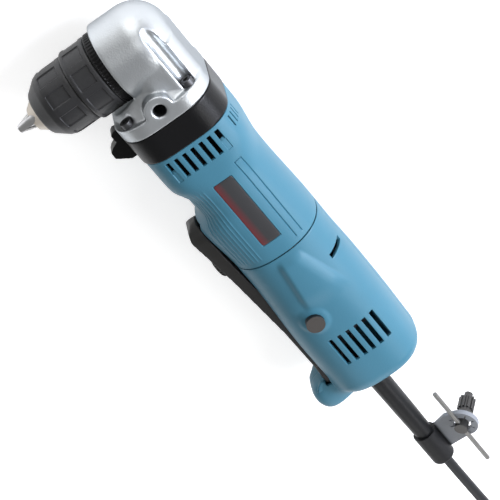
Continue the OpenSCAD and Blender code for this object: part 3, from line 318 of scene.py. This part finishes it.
# Gear case. A black glass-filled nylon ring carries the countershaft and the motor's front bearing,
# and a two-lobed stop under it keeps the fingers clear of the chuck.
case_black = plain_finish(
    "case_black", (0.006, 0.006, 0.0065), 0.33, grain=0.3, grain_size=900, gloss=0.2)
soft_copy("gear_case_ring", "gear_case", "housing", case_black, cell=0.5, rounds=4)

# Motor housing. One blue glass-filled nylon moulding, set against the gear case: a squarish front
# collar with air slots, then a rounder barrel with a seat for the label, two fine grooves, finger
# ribs, and an open channel for the paddle.
blue = (0.057, 0.195, 0.277)
housing_blue = plain_finish(
    "housing_blue", blue, 0.44, grain=0.22, grain_size=1100, gloss=0.32, mottle=0.03)
collar_x, seam_x = 50.1, 137.4
shoulder_start, shoulder_end = 73.0, 85.0
collar_back, housing_half = 28.2, 28.0
collar_power, barrel_power = 3.4, 2.35
channel_x, channel_half, channel_depth = 102.4, 11.2, 28.2
channel_fade = math.radians(20)
wall_thick, wall_edge, moulding_crease = 2.0, 0.2, 34.0


def ease(value, start, end):
    """Smooth step from 0 at start to 1 at end: 3t^2 - 2t^3 of the share t of the way."""
    t = np.clip((value - start) / (end - start), 0, 1)
    return t * t * (3 - 2 * t)


def wall_radius(angle, back, floor, half, power):
    """Distance from the motor axis to the wall at an angle from the back: a superellipse, whose
    half-size along Y is the back's or the floor's and across Y is the half width."""
    along = np.cos(angle)
    reach = np.where(along > 0, back, floor)
    return (np.abs(along / reach) ** power + np.abs(np.sin(angle) / half) ** power) ** (-1 / power)


def lines_between(breaks, coarse):
    """Grid lines through every break, with even steps no longer than coarse between them."""
    breaks = np.unique(np.round(breaks, 4))
    spans = []
    for start, end in zip(breaks, breaks[1:]):
        steps = max(1, int(np.ceil((end - start) / coarse)))
        spans.append(np.linspace(start, end, steps + 1)[:-1])
    return np.concatenate(spans + [breaks[-1:]])


def angle_at(y, back, half, power):
    """Angle from the back of the wall point at a given Y on the label side."""
    z = half * (1 - np.abs(np.asarray(y, float) / back) ** power) ** (1 / power)
    return np.arctan2(z, y)


vent_w, vent_pitch, vent_count = 2.7, 5.3, 7
vent_start, vent_end, short_end, blind_end = 52.6, 65.6, 60.1, 66.4
vent_y = (np.arange(vent_count) - (vent_count - 1) / 2) * vent_pitch
vent_low = angle_at(vent_y + vent_w / 2, collar_back, housing_half, collar_power)
vent_high = angle_at(vent_y - vent_w / 2, collar_back, housing_half, collar_power)
end_vents = [0, -1]
label_x0, label_x1, label_y0, label_y1 = 79.1, 126.6, -5.0, 7.0
label_deep, label_slack, blind_deep, break_deep = 0.5, 0.05, 0.45, 0.35
groove_y, groove_back, label_back = np.array([12.6, 16.7]), 26.8, 27.0
groove_angles = angle_at(groove_y, groove_back, housing_half, barrel_power)
rib_angles = np.radians(90 + np.arange(22.0, 50.0, 4.6))
groove_half, groove_deep = 0.5 / housing_half, 0.6
rib_half, rib_high = 0.42 / housing_half, 0.22
line_x0, line_x1, cross_half = 74.0, 134.0, 0.4
rib_start, rib_full = line_x0 + 3.0, line_x0 + 6.0
side_vent_angles = np.radians(90 - np.array([50.0, 56.0, 62.0, 68.0]))
side_vent_r = 31.0
side_vent_half = 0.55 / side_vent_r
rim, slack = 0.25, 1e-3
label_lines = [label_y0 - rim, label_y0, label_y1, label_y1 + rim]
label_angles = angle_at(label_lines, label_back, housing_half, barrel_power)
channel_angle = np.pi - math.atan2(channel_half, channel_depth)
station_step, angle_step = 1.2, math.radians(2.2)
half_angles = lines_between(np.concatenate([
    vent_low, vent_high, label_angles,
    vent_low[end_vents] - rim / housing_half, vent_high[end_vents] + rim / housing_half,
    (groove_angles[:, None] + groove_half * np.array([-1, 0, 1])).ravel(),
    (rib_angles[:, None] + rib_half * np.array([-1, 0, 1])).ravel(),
    (side_vent_angles[:, None] + side_vent_half * np.array([-1, 1])).ravel(),
    [0.0, channel_angle, np.pi],
]), angle_step)
angles = np.concatenate([half_angles[:-1], (2 * np.pi - half_angles[::-1])[:-1]])
stations = lines_between(np.array([
    collar_x, collar_x + rim, vent_start, short_end, short_end + rim, vent_end, blind_end, blind_end + rim,
    line_x0, line_x0 + cross_half, line_x0 + 2 * cross_half, shoulder_start, shoulder_end,
    label_x0 - rim, label_x0, label_x1, label_x1 + rim, channel_x, line_x1 - 0.5, line_x1,
    seam_x - 2 * rim, seam_x - rim, seam_x,
]), station_step)


def barrel_sizes(x):
    """Half-sizes of the motor housing's section along X: the collar is squarish and full, a shoulder dips
    to a finger rest, and the barrel swells to the seam and comes down beside the paddle."""
    back = collar_back - 1.8 * ease(x, 62.0, 84.0) + 1.5 * ease(x, 90.0, seam_x)
    floor = 27.8 - 3.5 * ease(x, shoulder_start, shoulder_end) + 6.6 * ease(x, 94.5, 107.0)
    floor = floor - 2.2 * ease(x, 108.0, seam_x)
    half = np.full_like(x, housing_half)
    power = collar_power - 1.05 * ease(x, 66.0, 88.0)
    return back, floor, half, power


def straight_channel(front, x, sizes, edge):
    """Angles from the back, moved so that the grid line at the edge angle keeps the channel's half width
    from the middle plane: the move is full on that line and dies out up the wall and at the floor's
    middle."""
    edge_radius = wall_radius(np.full_like(x, edge), *sizes(x))
    move = np.pi - np.arcsin(channel_half / edge_radius) - edge
    fade = np.where(front < edge, 1 - (edge - front) / channel_fade, (np.pi - front) / (np.pi - edge))
    return front + move * np.clip(fade, 0, 1)


x, angle = np.meshgrid(stations, angles, indexing="ij")
front = np.minimum(angle, 2 * np.pi - angle)
bent = straight_channel(front, x, barrel_sizes, channel_angle)
back, floor, half, power = barrel_sizes(x)
# The grid lines under the two grooves are bent so that each groove keeps its height along the barrel.
hat_angles = np.array([math.radians(40), groove_angles[1], groove_angles[0], math.radians(75)])
for line, hat in ((0, (0, 0, 1, 0)), (1, (0, 1, 0, 0))):
    move = angle_at(np.full_like(x, groove_y[line]), back, half, power) - groove_angles[line]
    bent = bent + move * np.interp(front, hat_angles, hat) * ease(x, 67.0, line_x0)
angle = np.where(angle <= np.pi, bent, 2 * np.pi - bent)
radius = wall_radius(angle, *barrel_sizes(x))
y, z = radius * np.cos(angle), radius * np.sin(angle)
on_label = (z > 0) & (np.abs(x - (label_x0 + label_x1) / 2) < (label_x1 - label_x0) / 2 + slack)
on_label &= (y > label_y0 - label_slack) & (y < label_y1 + label_slack)
groove = np.max(1 - np.abs(front[..., None] - groove_angles) / groove_half, -1).clip(0, 1)
groove *= (x > line_x0) & (x < line_x1)
across = (front > groove_angles.min()) & (front < groove_angles.max())
groove = np.maximum(groove, across * (1 - np.abs(x - line_x0 - cross_half) / cross_half).clip(0, 1))
rib = np.max(1.0 - np.abs(front[..., None] - rib_angles) / rib_half, -1).clip(0, 1)
rib *= ease(x, rib_start, rib_full) * (x < line_x1)
above, below = vent_low[end_vents] - slack, vent_high[end_vents] + slack
blind = ((front[..., None] > above) & (front[..., None] < below)).any(-1)
blind &= (x > short_end + rim / 2) & (x < blind_end + rim / 2)
edge_break = break_deep * (1 - ease(x, collar_x, collar_x + rim))
edge_break += break_deep * ease(x, seam_x - 2 * rim, seam_x)
lift = -label_deep * on_label - groove_deep * groove + rib_high * rib - blind_deep * blind - edge_break
y, z = (radius + lift) * np.cos(angle), (radius + lift) * np.sin(angle)
barrel = np.stack([x, y, z], -1)
quads = grid_quads(*x.shape, True)
mid_x = x.ravel()[quads].mean(1)
mid_front = front.ravel()[quads].mean(1)
in_vent = (mid_front[:, None] > vent_low) & (mid_front[:, None] < vent_high)
reach = np.where(in_vent[:, 0] | in_vent[:, -1], short_end, vent_end)
opening = in_vent.any(1) & (mid_x > vent_start) & (mid_x < reach)
in_side = (np.abs(mid_front[:, None] - side_vent_angles) < side_vent_half).any(1)
opening |= in_side & (mid_x > vent_start) & (mid_x < short_end)
opening |= (mid_front > channel_angle) & (mid_x > channel_x)


def moulded_wall(piece, thickness, edge):
    """Gives an open skin its wall inwards, and a small round on the sharp edges."""
    wall = piece.modifiers.new("wall", "SOLIDIFY")
    wall.thickness = thickness * MM
    wall.offset = -1.0
    bevel = piece.modifiers.new("edge", "BEVEL")
    bevel.width = edge * MM
    bevel.segments = 2
    bevel.limit_method = "ANGLE"
    bevel.angle_limit = math.radians(50)


housing = make_piece(
    "motor_barrel", barrel.reshape(-1, 3), quads[~opening], "housing", housing_blue, ("motor_housing",),
    moulding_crease)
moulded_wall(housing, wall_thick, wall_edge)

# Label plate. A thin printed aluminium plate, bare dark grey with a red band along its chuck side,
# is glued into its seat and follows the barrel's curve.
label_colour, band_colour = (0.038, 0.038, 0.04), (0.13, 0.026, 0.03)
label_print = plain_finish("label_print", label_colour, 0.45, metal=0.1, mottle=0.02)
band_full, band_end = 1.2, 5.0
two_tone(label_print, (0, label_y0, 0), (0, 1, 0), band_full, band_end, band_colour, label_colour)
corner_r = 1.3
plate_gap_x, plate_gap_y = 0.15, 0.12
plate_thick, plate_rise, plate_edge = 0.5, 0.4, 0.12
plate_rows, plate_columns = 24, 49
plate_x = np.linspace(label_x0 + plate_gap_x, label_x1 - plate_gap_x, plate_rows)
plate_y = np.linspace(label_y0 + plate_gap_y, label_y1 - plate_gap_y, plate_columns)
px, py = np.meshgrid(plate_x, plate_y, indexing="ij")
in_corner = np.maximum(0, corner_r - np.minimum(py - plate_y[0], plate_y[-1] - py))
pulled = corner_r - np.sqrt(corner_r**2 - in_corner**2)
middle_x = (label_x0 + label_x1) / 2
px = middle_x + (px - middle_x) * (1 - 2 * pulled / (label_x1 - label_x0))
back, floor, half, power = barrel_sizes(px)
side = np.where(py > 0, back, floor)
pz = half * (1 - np.abs(py / side) ** power) ** (1 / power) - label_deep + plate_rise
plate = make_piece(
    "label", np.stack([px, py, pz], -1).reshape(-1, 3), grid_quads(plate_rows, plate_columns, False),
    "housing", label_print, ("label_plate",))
moulded_wall(plate, plate_thick, plate_edge)

# Rear cover. Two blue nylon halves, screwed together on the tool's middle plane, close round the brush
# gear, switch and cord. Each has air slots and a slit at the back, and the left one has a thumb pad
# and a boss round the lock button.
tail_x, tail_round = 249.0, 8.5
cover_x = seam_x + 0.55
rear_vent_mid, rear_vent_pitch, rear_vent_count = 3.0, 5.6, 6
rear_vent_y = rear_vent_mid + (np.arange(rear_vent_count) - (rear_vent_count - 1) / 2) * rear_vent_pitch
rear_vent_x0, rear_vent_x1 = 202.0, 223.0
slit_x0, slit_x1 = 157.6, 160.8
slit_angles = np.radians([19.5, 49.6])
button_x, button_y, button_r = 185.6, -10.3, 5.4
channel_end, notch_end, notch_y = 225.0, 239.0, -33.8
channel_blend = 8.0
lug_half, lug_lean, lug_power, lug_fillet = 12.0, 6.6, 5.0, 5.0
lug_top, lug_side, lug_middle = 0.6 * np.pi, math.radians(146), math.radians(168)
lug_keep = 0.35
pad_high, pad_soft, pad_crest = 2.1, 2.5, 8.0
boss_high, boss_flat, boss_foot = 0.8, 1.0, 4.5
joint_deep, joint_w = 0.3, 0.3
lug_x = np.array([232.2, 233.8, 234.8, 236.0, 238.0, 240.6, 243.8, 247.0, 258.0])
lug_depth = np.array([20.0, 29.5, 36.0, 39.8, 42.8, 44.8, 45.8, 45.8, 45.8])


def cover_sizes(x):
    """Half-sizes of the rear cover's section along X: it follows the barrel at the seam and stays full
    along the back, while its floor comes down beside the paddle toward the tail."""
    back = 27.9 + 0.6 * ease(x, 150.0, 183.0) - 0.8 * ease(x, 205.0, tail_x)
    floor = 28.7 + 2.3 * ease(x, 150.0, 212.0)
    half = np.full_like(x, housing_half) - 0.8 * ease(x, 215.0, tail_x)
    power = barrel_power + 0.25 * ease(x, 150.0, 190.0)
    return back, floor, half, power


def cover_radius(angle, x):
    """Distance from the motor axis to the cover's wall: the greater of the body's section and the
    lug's, which is a narrow superellipse under the tail, with a fillet where the two meet."""
    body_r = wall_radius(angle, *cover_sizes(x))
    depth = np.interp(x, lug_x, lug_depth)
    lug_r = wall_radius(np.maximum(angle, lug_top), 1.0, depth, lug_half, lug_power)
    share = np.clip(0.5 + 0.5 * (lug_r - body_r) / lug_fillet, 0, 1)
    return body_r + (lug_r - body_r) * share + lug_fillet * share * (1 - share)


rear_vent_back, rear_vent_power = 28.3, 2.6
rear_low = angle_at(rear_vent_y + vent_w / 2, rear_vent_back, housing_half, rear_vent_power)
rear_high = angle_at(rear_vent_y - vent_w / 2, rear_vent_back, housing_half, rear_vent_power)
rear_channel_depth = 27.0
rear_channel = np.pi - math.atan2(channel_half, rear_channel_depth)
joint_angle = joint_w / housing_half
lug_angles = np.radians(np.arange(148.0, 174.0, 0.45))
half_angles = lines_between(np.concatenate([
    rear_low, rear_high, slit_angles, lug_angles,
    [0.0, joint_angle, rear_channel, np.pi - joint_angle, np.pi],
]), math.radians(1.6))
stations = lines_between(np.array([
    cover_x, cover_x + 0.2, cover_x + 0.45, slit_x0, slit_x1, rear_vent_x0, rear_vent_x1, channel_end,
    *np.arange(lug_x[0], notch_end, 0.45), notch_end, tail_x - tail_round,
]), station_step)
bend = np.linspace(0, np.pi / 2, 12)[1:]
shrink = np.array([0.75, 0.5, 0.25, 0.0])
row_x = np.concatenate([
    stations, tail_x - tail_round + tail_round * np.sin(bend), np.full(len(shrink), tail_x)])
row_inset = np.concatenate([
    np.zeros(len(stations)), tail_round * (1 - np.cos(bend)), np.full(len(shrink), tail_round)])
row_scale = np.concatenate([np.ones(len(stations) + len(bend)), shrink])
for half_name, side, node in (("left", 1, "rear_cover_left"), ("right", -1, "rear_cover_right")):
    x, front = np.meshgrid(row_x, half_angles, indexing="ij")
    bent = straight_channel(front, x, cover_sizes, rear_channel)
    angle = bent + (front - bent) * ease(x, channel_end - channel_blend, channel_end)
    at_lug = ease(angle, lug_side, lug_middle)
    inset = row_inset[:, None] * (1 - lug_keep * at_lug)
    radius = (cover_radius(angle, x) - inset) * row_scale[:, None]
    x = x + lug_lean * at_lug * ease(x, notch_end - 3.0, tail_x)
    y = radius * np.cos(angle)
    seam_break = joint_deep * (1 - ease(x, seam_x + 0.3, seam_x + 0.9))
    from_joint = np.minimum(angle, np.pi - angle) * housing_half
    joint_break = joint_deep * (1 - ease(from_joint, 0.0, joint_w)) * (row_scale[:, None] > 0)
    pad_top = 6.3 + 0.28 * (x - 139.4)
    pad_foot = -4.7 - 0.114 * (x - 140.5)
    crest = np.clip((pad_top + pad_soft - y) / pad_crest, 0, 1)
    pad = ease(y, pad_foot - pad_soft, pad_foot + pad_soft) * (1 - (1 - crest) ** 2)
    pad = pad * ease(x, 139.0, 146.0) * (1 - ease(x, 167.0, 181.0))
    from_button = np.hypot(x - button_x, y - button_y)
    boss = 1 - ease(from_button, button_r + boss_flat, button_r + boss_foot)
    raised = pad_high * pad + boss_high * boss if side > 0 else 0.0
    radius = radius + raised - seam_break - joint_break
    skin = np.stack([x, radius * np.cos(angle), radius * np.sin(angle) * side], -1)
    quads = grid_quads(*x.shape, False)
    mid_x, mid_angle = x.ravel()[quads].mean(1), front.ravel()[quads].mean(1)
    in_vent = ((mid_angle[:, None] > rear_low) & (mid_angle[:, None] < rear_high)).any(1)
    opening = in_vent & (mid_x > rear_vent_x0) & (mid_x < rear_vent_x1)
    in_slit = (mid_angle > slit_angles[0]) & (mid_angle < slit_angles[1])
    opening |= in_slit & (mid_x > slit_x0) & (mid_x < slit_x1)
    over_notch = (mid_x < notch_end) & (skin[..., 1].ravel()[quads].mean(1) > notch_y)
    opening |= (mid_angle > rear_channel) & ((mid_x < channel_end) | over_notch)
    quads = quads[:, ::side]
    cover = make_piece(
        f"rear_shell_{half_name}", skin.reshape(-1, 3), quads[~opening], "housing", housing_blue, (node,),
        moulding_crease)
    moulded_wall(cover, wall_thick, wall_edge)
dress("rear_cover_screws", screw_steel)

# Lug toe. Under the tail the two cover halves swell into a blunt lug that guards the end of the paddle;
# its toe reaches forward under the paddle, and is filled solid above the wall.
toe_corners = np.array([
    [234.4, -34.2], [238.8, -34.2], [240, -36], [240, -41.0], [239.6, -41.0], [237.2, -39.2],
    [235.3, -37.0]])
toe_gap, toe_half, toe_edge = 0.15, 10.6, 0.4


def rounded_outline(corners, rounds):
    """A closed outline with its corners cut: each round puts two points on every side, a quarter of
    the side from its ends, in place of the corners."""
    for _ in range(rounds):
        ahead = np.roll(corners, -1, axis=0)
        pairs = np.stack([0.75 * corners + 0.25 * ahead, 0.25 * corners + 0.75 * ahead], 1)
        corners = pairs.reshape(-1, 2)
    return corners


def pillow(outline, low, high, edge, steps=6):
    """A bar with rounded rims: the outline is carried across Z from low to high, and near each end it
    is drawn in along its normal by the sagitta of a quarter round of the edge radius."""
    ahead, behind = np.roll(outline, -1, axis=0), np.roll(outline, 1, axis=0)
    tangent = ahead - behind
    tangent /= np.linalg.norm(tangent, axis=1, keepdims=True)
    area = np.sum(outline[:, 0] * ahead[:, 1] - ahead[:, 0] * outline[:, 1])
    inward = np.stack([-tangent[:, 1], tangent[:, 0]], -1) * np.sign(area)
    bend = np.linspace(0, np.pi / 2, steps)
    inset = np.concatenate([edge * (1 - np.sin(bend)), edge * (1 - np.cos(bend))])
    level = np.concatenate([low + edge * (1 - np.cos(bend)), high - edge * (1 - np.sin(bend))])
    rings = np.concatenate([
        outline + inward * inset[:, None, None],
        np.broadcast_to(level[:, None, None], (2 * steps, len(outline), 1))], -1)
    count = len(outline)
    faces = grid_quads(2 * steps, count, True).tolist()
    faces.append(list(range(count)))
    faces.append(list(range((2 * steps - 1) * count, 2 * steps * count))[::-1])
    return rings.reshape(-1, 3), faces


toe_outline = rounded_outline(toe_corners, rounds=2)
for half_name, low, high in (("left", toe_gap, toe_half), ("right", -toe_half, -toe_gap)):
    points, faces = pillow(toe_outline, low, high, toe_edge)
    toe = make_piece(f"lug_toe_{half_name}", points, faces, "housing", housing_blue)

# Chuck. Under the knurled ring that holds the spindle bearing, two black nylon sleeves with sunk grip
# panels cover a steel body whose bare nose shows, and the front one screws three ground jaws out.
boss_y, sleeve_crease, sleeve_step = 8.4, 28.0, 0.7
chuck_nylon = plain_finish("chuck_nylon", (0.021, 0.021, 0.022), 0.44, grain=0.4, grain_size=1000)
turn_angle = np.linspace(0, 2 * np.pi, 361)[:-1]


def sleeve(
        name, node, body, finish, stations, radii, bore, panels, share, depth, panel_from, panel_to):
    """Makes a turned sleeve: the radius at each station below the boss, less a shallow panel sunk
    between two stations over a share of each of the evenly spaced panels, closed by a straight bore."""
    along = np.asarray(stations, float)
    base = np.asarray(radii, float)
    ramp = 0.5
    panel_lines = [panel_from, panel_from + ramp, panel_to - ramp, panel_to]
    fine_s = lines_between(np.concatenate([along, panel_lines]), sleeve_step)
    fine_r = np.interp(fine_s, along, base)
    pitch = 2 * np.pi / panels
    from_mid = np.abs((turn_angle + pitch / 2) % pitch - pitch / 2) / pitch
    across = 1 - ease(from_mid, share / 2 - 0.025, share / 2 + 0.005)
    down = ease(fine_s, panel_from, panel_from + ramp) * (1 - ease(fine_s, panel_to - ramp, panel_to))
    outer = fine_r[:, None] - depth * down[:, None] * across
    lip = 0.3
    top_bore = np.full((1, len(turn_angle)), min(bore[0], fine_r[0] - lip))
    end_bore = np.full((1, len(turn_angle)), min(bore[1], fine_r[-1] - lip))
    s = np.concatenate([fine_s[:1], fine_s, fine_s[-1:], fine_s[:1]])[:, None]
    r = np.concatenate([top_bore, outer, end_bore, top_bore])
    grid = np.stack([r * np.cos(turn_angle), -boss_y - s + 0 * r, r * np.sin(turn_angle)], -1)
    quads = grid_quads(len(s), len(turn_angle), True)
    piece = make_piece(name, grid.reshape(-1, 3), quads, body, finish, (node,), sleeve_crease)


sleeve(
    "bearing_ring", "spindle_cover", "housing", case_black,
    stations=[0.05, 0.4, 4.6, 5.0],
    radii=[20.7, 21.0, 21.0, 20.7],
    bore=(15.0, 15.0), panels=60, share=0.5, depth=0.35, panel_from=0.6, panel_to=4.4)
sleeve(
    "chuck_rear_sleeve", "rear_sleeve", "spindle", chuck_nylon,
    stations=[5.4, 5.9, 6.4, 19.6, 20.3, 20.9],
    radii=[20.0, 20.6, 20.8, 20.8, 20.5, 19.8],
    bore=(18.2, 18.2), panels=9, share=0.74, depth=0.6, panel_from=8.0, panel_to=18.6)
sleeve(
    "chuck_front_sleeve", "front_sleeve", "chuck_sleeve", chuck_nylon,
    stations=[21.3, 21.9, 22.6, 34.0, 37.0, 39.8, 46.3, 46.9],
    radii=[18.8, 19.2, 19.3, 19.3, 18.9, 17.8, 12.8, 12.0],
    bore=(18.2, 10.8), panels=9, share=0.62, depth=0.7, panel_from=24.6, panel_to=36.5)
nose_steel = plain_finish("nose_steel", (0.6, 0.545, 0.47), 0.4, metal=0.55, grain=0.15)
jaw_steel = plain_finish("jaw_steel", (0.6, 0.6, 0.6), 0.32, metal=0.95)
dress("chuck_body", nose_steel)
dress("chuck_screw", screw_steel)
for number in (1, 2, 3):
    dress(f"jaw_{number}", jaw_steel)

# Switch. A long black nylon paddle turns on a steel pin in the tail and pushes the switch plunger;
# its heel fills the notch of the tail lug, a fluted speed dial is let into its front, and a black lock
# button stands out of the left cover half, its top face painted a lighter grey as a painted highlight.
paddle_black = plain_finish("paddle_black", (0.024, 0.023, 0.022), 0.42, grain=0.3)
soft_copy("paddle", "switch_paddle", "paddle", paddle_black, cell=0.5, rounds=10)
heel_corners = np.array([
    [219.0, -31.7], [226.0, -32.3], [237.0, -32.9], [238.4, -31.6], [238.4, -28.0], [236.5, -26.6],
    [219.0, -26.6]])
heel_half, heel_edge = 9.7, 0.6
points, faces = pillow(rounded_outline(heel_corners, rounds=2), -heel_half, heel_half, heel_edge)
heel = make_piece("paddle_heel", points, faces, "paddle", paddle_black)
dial_place, dial_slope = np.array([137.5, -35.95, 0.0]), math.radians(5.4)
dial_axis = np.array([math.sin(dial_slope), -math.cos(dial_slope), 0.0])
dial_level = np.array([math.cos(dial_slope), math.sin(dial_slope), 0.0])
dial_across = np.array([0.0, 0.0, 1.0])
dial_rim, dial_crease = 7.0, 30.0
dial_rise = np.array([
    [-4, 0], [-4, 1.5], [-0.5, 1.5], [-0.5, 6.7], [-0.1, dial_rim], [2, dial_rim], [2.6, 6.4], [2.6, 5.2],
    [2.2, 4.7], [2.2, 0]])
flute_count, flute_deep = 20, 0.8
flutes = flute_deep * (0.5 + 0.5 * np.cos(flute_count * turn_angle)) * (dial_rise[:, 1:] >= dial_rim)
dial_r = (dial_rise[:, 1:] - flutes)[..., None]
dial_round = np.cos(turn_angle)[:, None] * dial_level + np.sin(turn_angle)[:, None] * dial_across
dial_points = dial_place + dial_rise[:, 0, None, None] * dial_axis + dial_r * dial_round
dial_quads = grid_quads(len(dial_rise), len(turn_angle), True)
dial = make_piece(
    "knurled_dial", dial_points.reshape(-1, 3), dial_quads, "dial", paddle_black, ("speed_dial",),
    dial_crease)
bright_steel = plain_finish("bright_steel", (0.6, 0.6, 0.61), 0.25, metal=1.0)
dress("paddle_pin", bright_steel)
# The lock button is black all over. Its top face is painted a lighter grey-brown as a painted highlight,
# where light falls on it, and its sides keep the black.
painted_lit_face, side_black = (0.06, 0.053, 0.048), (0.005, 0.005, 0.005)
button_grey = plain_finish("button_grey", painted_lit_face, 0.5, grain=0.3)
button_top = (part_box("lock_button")[1].z - tool_origin[2]) / MM
two_tone(button_grey, (0, 0, 0), (0, 0, 1), button_top - 0.5, button_top - 0.3, side_black, painted_lit_face)
dress("lock_button", button_grey)
switch_grey = plain_finish("switch_grey", (0.07, 0.075, 0.085), 0.45)
dress("switch_body", switch_grey)
plunger_red = plain_finish("plunger_red", (0.35, 0.02, 0.02), 0.4)
dress("switch_plunger", plunger_red)

# Motor and gears. Wound laminated steel, a copper commutator with carbon brushes, ball bearings and
# hardened gears fill the housing; they show only through the air slots.
core_steel = plain_finish("core_steel", (0.3, 0.31, 0.33), 0.45, metal=0.8)
gear_steel = plain_finish("gear_steel", (0.4, 0.41, 0.42), 0.35, metal=0.95)
winding_copper = plain_finish("winding_copper", (0.4, 0.17, 0.07), 0.35, metal=0.6)
bar_copper = plain_finish("bar_copper", (0.6, 0.28, 0.15), 0.3, metal=1.0)
holder_brass = plain_finish("holder_brass", (0.55, 0.4, 0.15), 0.35, metal=1.0)
brush_carbon = plain_finish("brush_carbon", (0.03, 0.03, 0.032), 0.6)
inner_plastic = plain_finish("inner_plastic", (0.03, 0.031, 0.034), 0.5)
inside_nodes = {
    "core_steel": (core_steel, ["field_core", "armature_core"]),
    "winding_copper": (winding_copper, ["field_coils", "armature_windings"]),
    "bar_copper": (bar_copper, ["commutator"]),
    "holder_brass": (holder_brass, ["brush_holders"]),
    "brush_carbon": (brush_carbon, ["carbon_brushes"]),
    "inner_plastic": (inner_plastic, ["baffle_plate", "fan", "cord_clamp"]),
    "bright_steel": (bright_steel, [
        "front_motor_bearing", "rear_motor_bearing", "spindle_front_bearing", "spindle_rear_bearing",
        "countershaft_front_bearing", "countershaft_rear_bearing", "armature_shaft", "countershaft",
        "spindle", "brush_springs"]),
    "gear_steel": (gear_steel, [
        "motor_pinion", "reduction_gear", "bevel_pinion", "bevel_gear", "jaw_nut"]),
    "screw_steel": (screw_steel, ["clamp_screws"]),
}
for slot_name, (finish, names) in inside_nodes.items():
    for name in names:
        dress(name, finish)

# Studio. The tool lies on white paper, which the camera and the mirror-like metal see as white, with a
# white backdrop low round it. A large, slightly cool key lamp stands at its back; softer lamps stand
# behind, above and before it, and a small one lights the tail.
floor_reach, floor_glow = 6.0, 0.62
floor_mesh = bpy.data.meshes.new("studio_floor")
floor_mesh.from_pydata(
    [(-floor_reach, -floor_reach, 0), (floor_reach, -floor_reach, 0), (floor_reach, floor_reach, 0),
     (-floor_reach, floor_reach, 0)], [], [(0, 1, 2, 3)])
floor_paper = bpy.data.materials.new("floor_paper")
floor_paper.use_nodes = True
tree = floor_paper.node_tree
paper = tree.nodes["Principled BSDF"]
paper.inputs["Base Color"].default_value = (0.8, 0.8, 0.8, 1)
paper.inputs["Roughness"].default_value = 0.9
paper.inputs["Specular IOR Level"].default_value = 0.0
paper.inputs["Emission Color"].default_value = (1, 1, 1, 1)


def math_of(tree, operation, first, second):
    """Output of a math node that joins two values, each an output of another node or a plain number."""
    node = tree.nodes.new("ShaderNodeMath")
    node.operation = operation
    for socket, value in zip(node.inputs, (first, second)):
        if isinstance(value, float):
            socket.default_value = value
        else:
            tree.links.new(value, socket)
    return node.outputs["Value"]


rays = tree.nodes.new("ShaderNodeLightPath").outputs
mirrored = math_of(tree, "MAXIMUM", rays["Is Glossy Ray"], rays["Is Transmission Ray"])
seen = math_of(tree, "MAXIMUM", rays["Is Camera Ray"], mirrored)
tree.links.new(math_of(tree, "MULTIPLY", seen, floor_glow), paper.inputs["Emission Strength"])
floor_mesh.materials.append(floor_paper)
studio_floor = bpy.data.objects.new("studio_floor", floor_mesh)
bpy.context.scene.collection.objects.link(studio_floor)

sky_light, backdrop_top = 0.27, 0.2
world = bpy.data.worlds.new("studio_world")
world.use_nodes = True
sky = world.node_tree
sky.nodes["Background"].inputs["Color"].default_value = (1, 1, 1, 1)
direction = sky.nodes.new("ShaderNodeTexCoord")
height = sky.nodes.new("ShaderNodeSeparateXYZ")
sky.links.new(direction.outputs["Generated"], height.inputs["Vector"])
backdrop = sky.nodes.new("ShaderNodeMapRange")
backdrop.inputs["From Max"].default_value = backdrop_top
backdrop.inputs["To Min"].default_value = 1.0
backdrop.inputs["To Max"].default_value = 0.0
sky.links.new(height.outputs["Z"], backdrop.inputs["Value"])
rays = sky.nodes.new("ShaderNodeLightPath").outputs
mirrored = math_of(sky, "MAXIMUM", rays["Is Glossy Ray"], rays["Is Transmission Ray"])
mirrored_low = math_of(sky, "MULTIPLY", mirrored, backdrop.outputs["Result"])
level = sky.nodes.new("ShaderNodeMapRange")
level.inputs["To Min"].default_value = sky_light
sky.links.new(math_of(sky, "MAXIMUM", rays["Is Camera Ray"], mirrored_low), level.inputs["Value"])
sky.links.new(level.outputs["Result"], sky.nodes["Background"].inputs["Strength"])
bpy.context.scene.world = world


def soft_lamp(name, place, aim, size, power, colour=(1.0, 1.0, 1.0)):
    """Hangs a square soft lamp at a place, turned so that it faces the aim point."""
    light = bpy.data.lights.new(name, "AREA")
    light.color = colour
    light.size = size
    light.energy = power
    lamp = bpy.data.objects.new(name, light)
    bpy.context.scene.collection.objects.link(lamp)
    place, aim = Vector(place), Vector(aim)
    facing = (place - aim).to_track_quat("Z", "Y").to_matrix().to_4x4()
    lamp.matrix_world = Matrix.Translation(place) @ facing


tool_middle = (0.0, 0.0, 0.03)
soft_lamp("key_lamp", (0.2, 1.5, 0.95), tool_middle, 0.8, 38.0, (0.96, 1.0, 1.12))
soft_lamp("rear_lamp", (1.0, 0.9, 1.4), tool_middle, 0.7, 7.5)
soft_lamp("top_lamp", (-0.9, 0.3, 1.6), tool_middle, 0.7, 3.2)
soft_lamp("front_lamp", (-1.5, 0.45, 0.4), (-0.1, 0.0, 0.03), 1.0, 7.0)
soft_lamp("tail_lamp", (0.42, -0.1, 0.16), (0.14, 0.0, 0.03), 0.25, 0.34)
bpy.context.scene.view_settings.view_transform = "Standard"
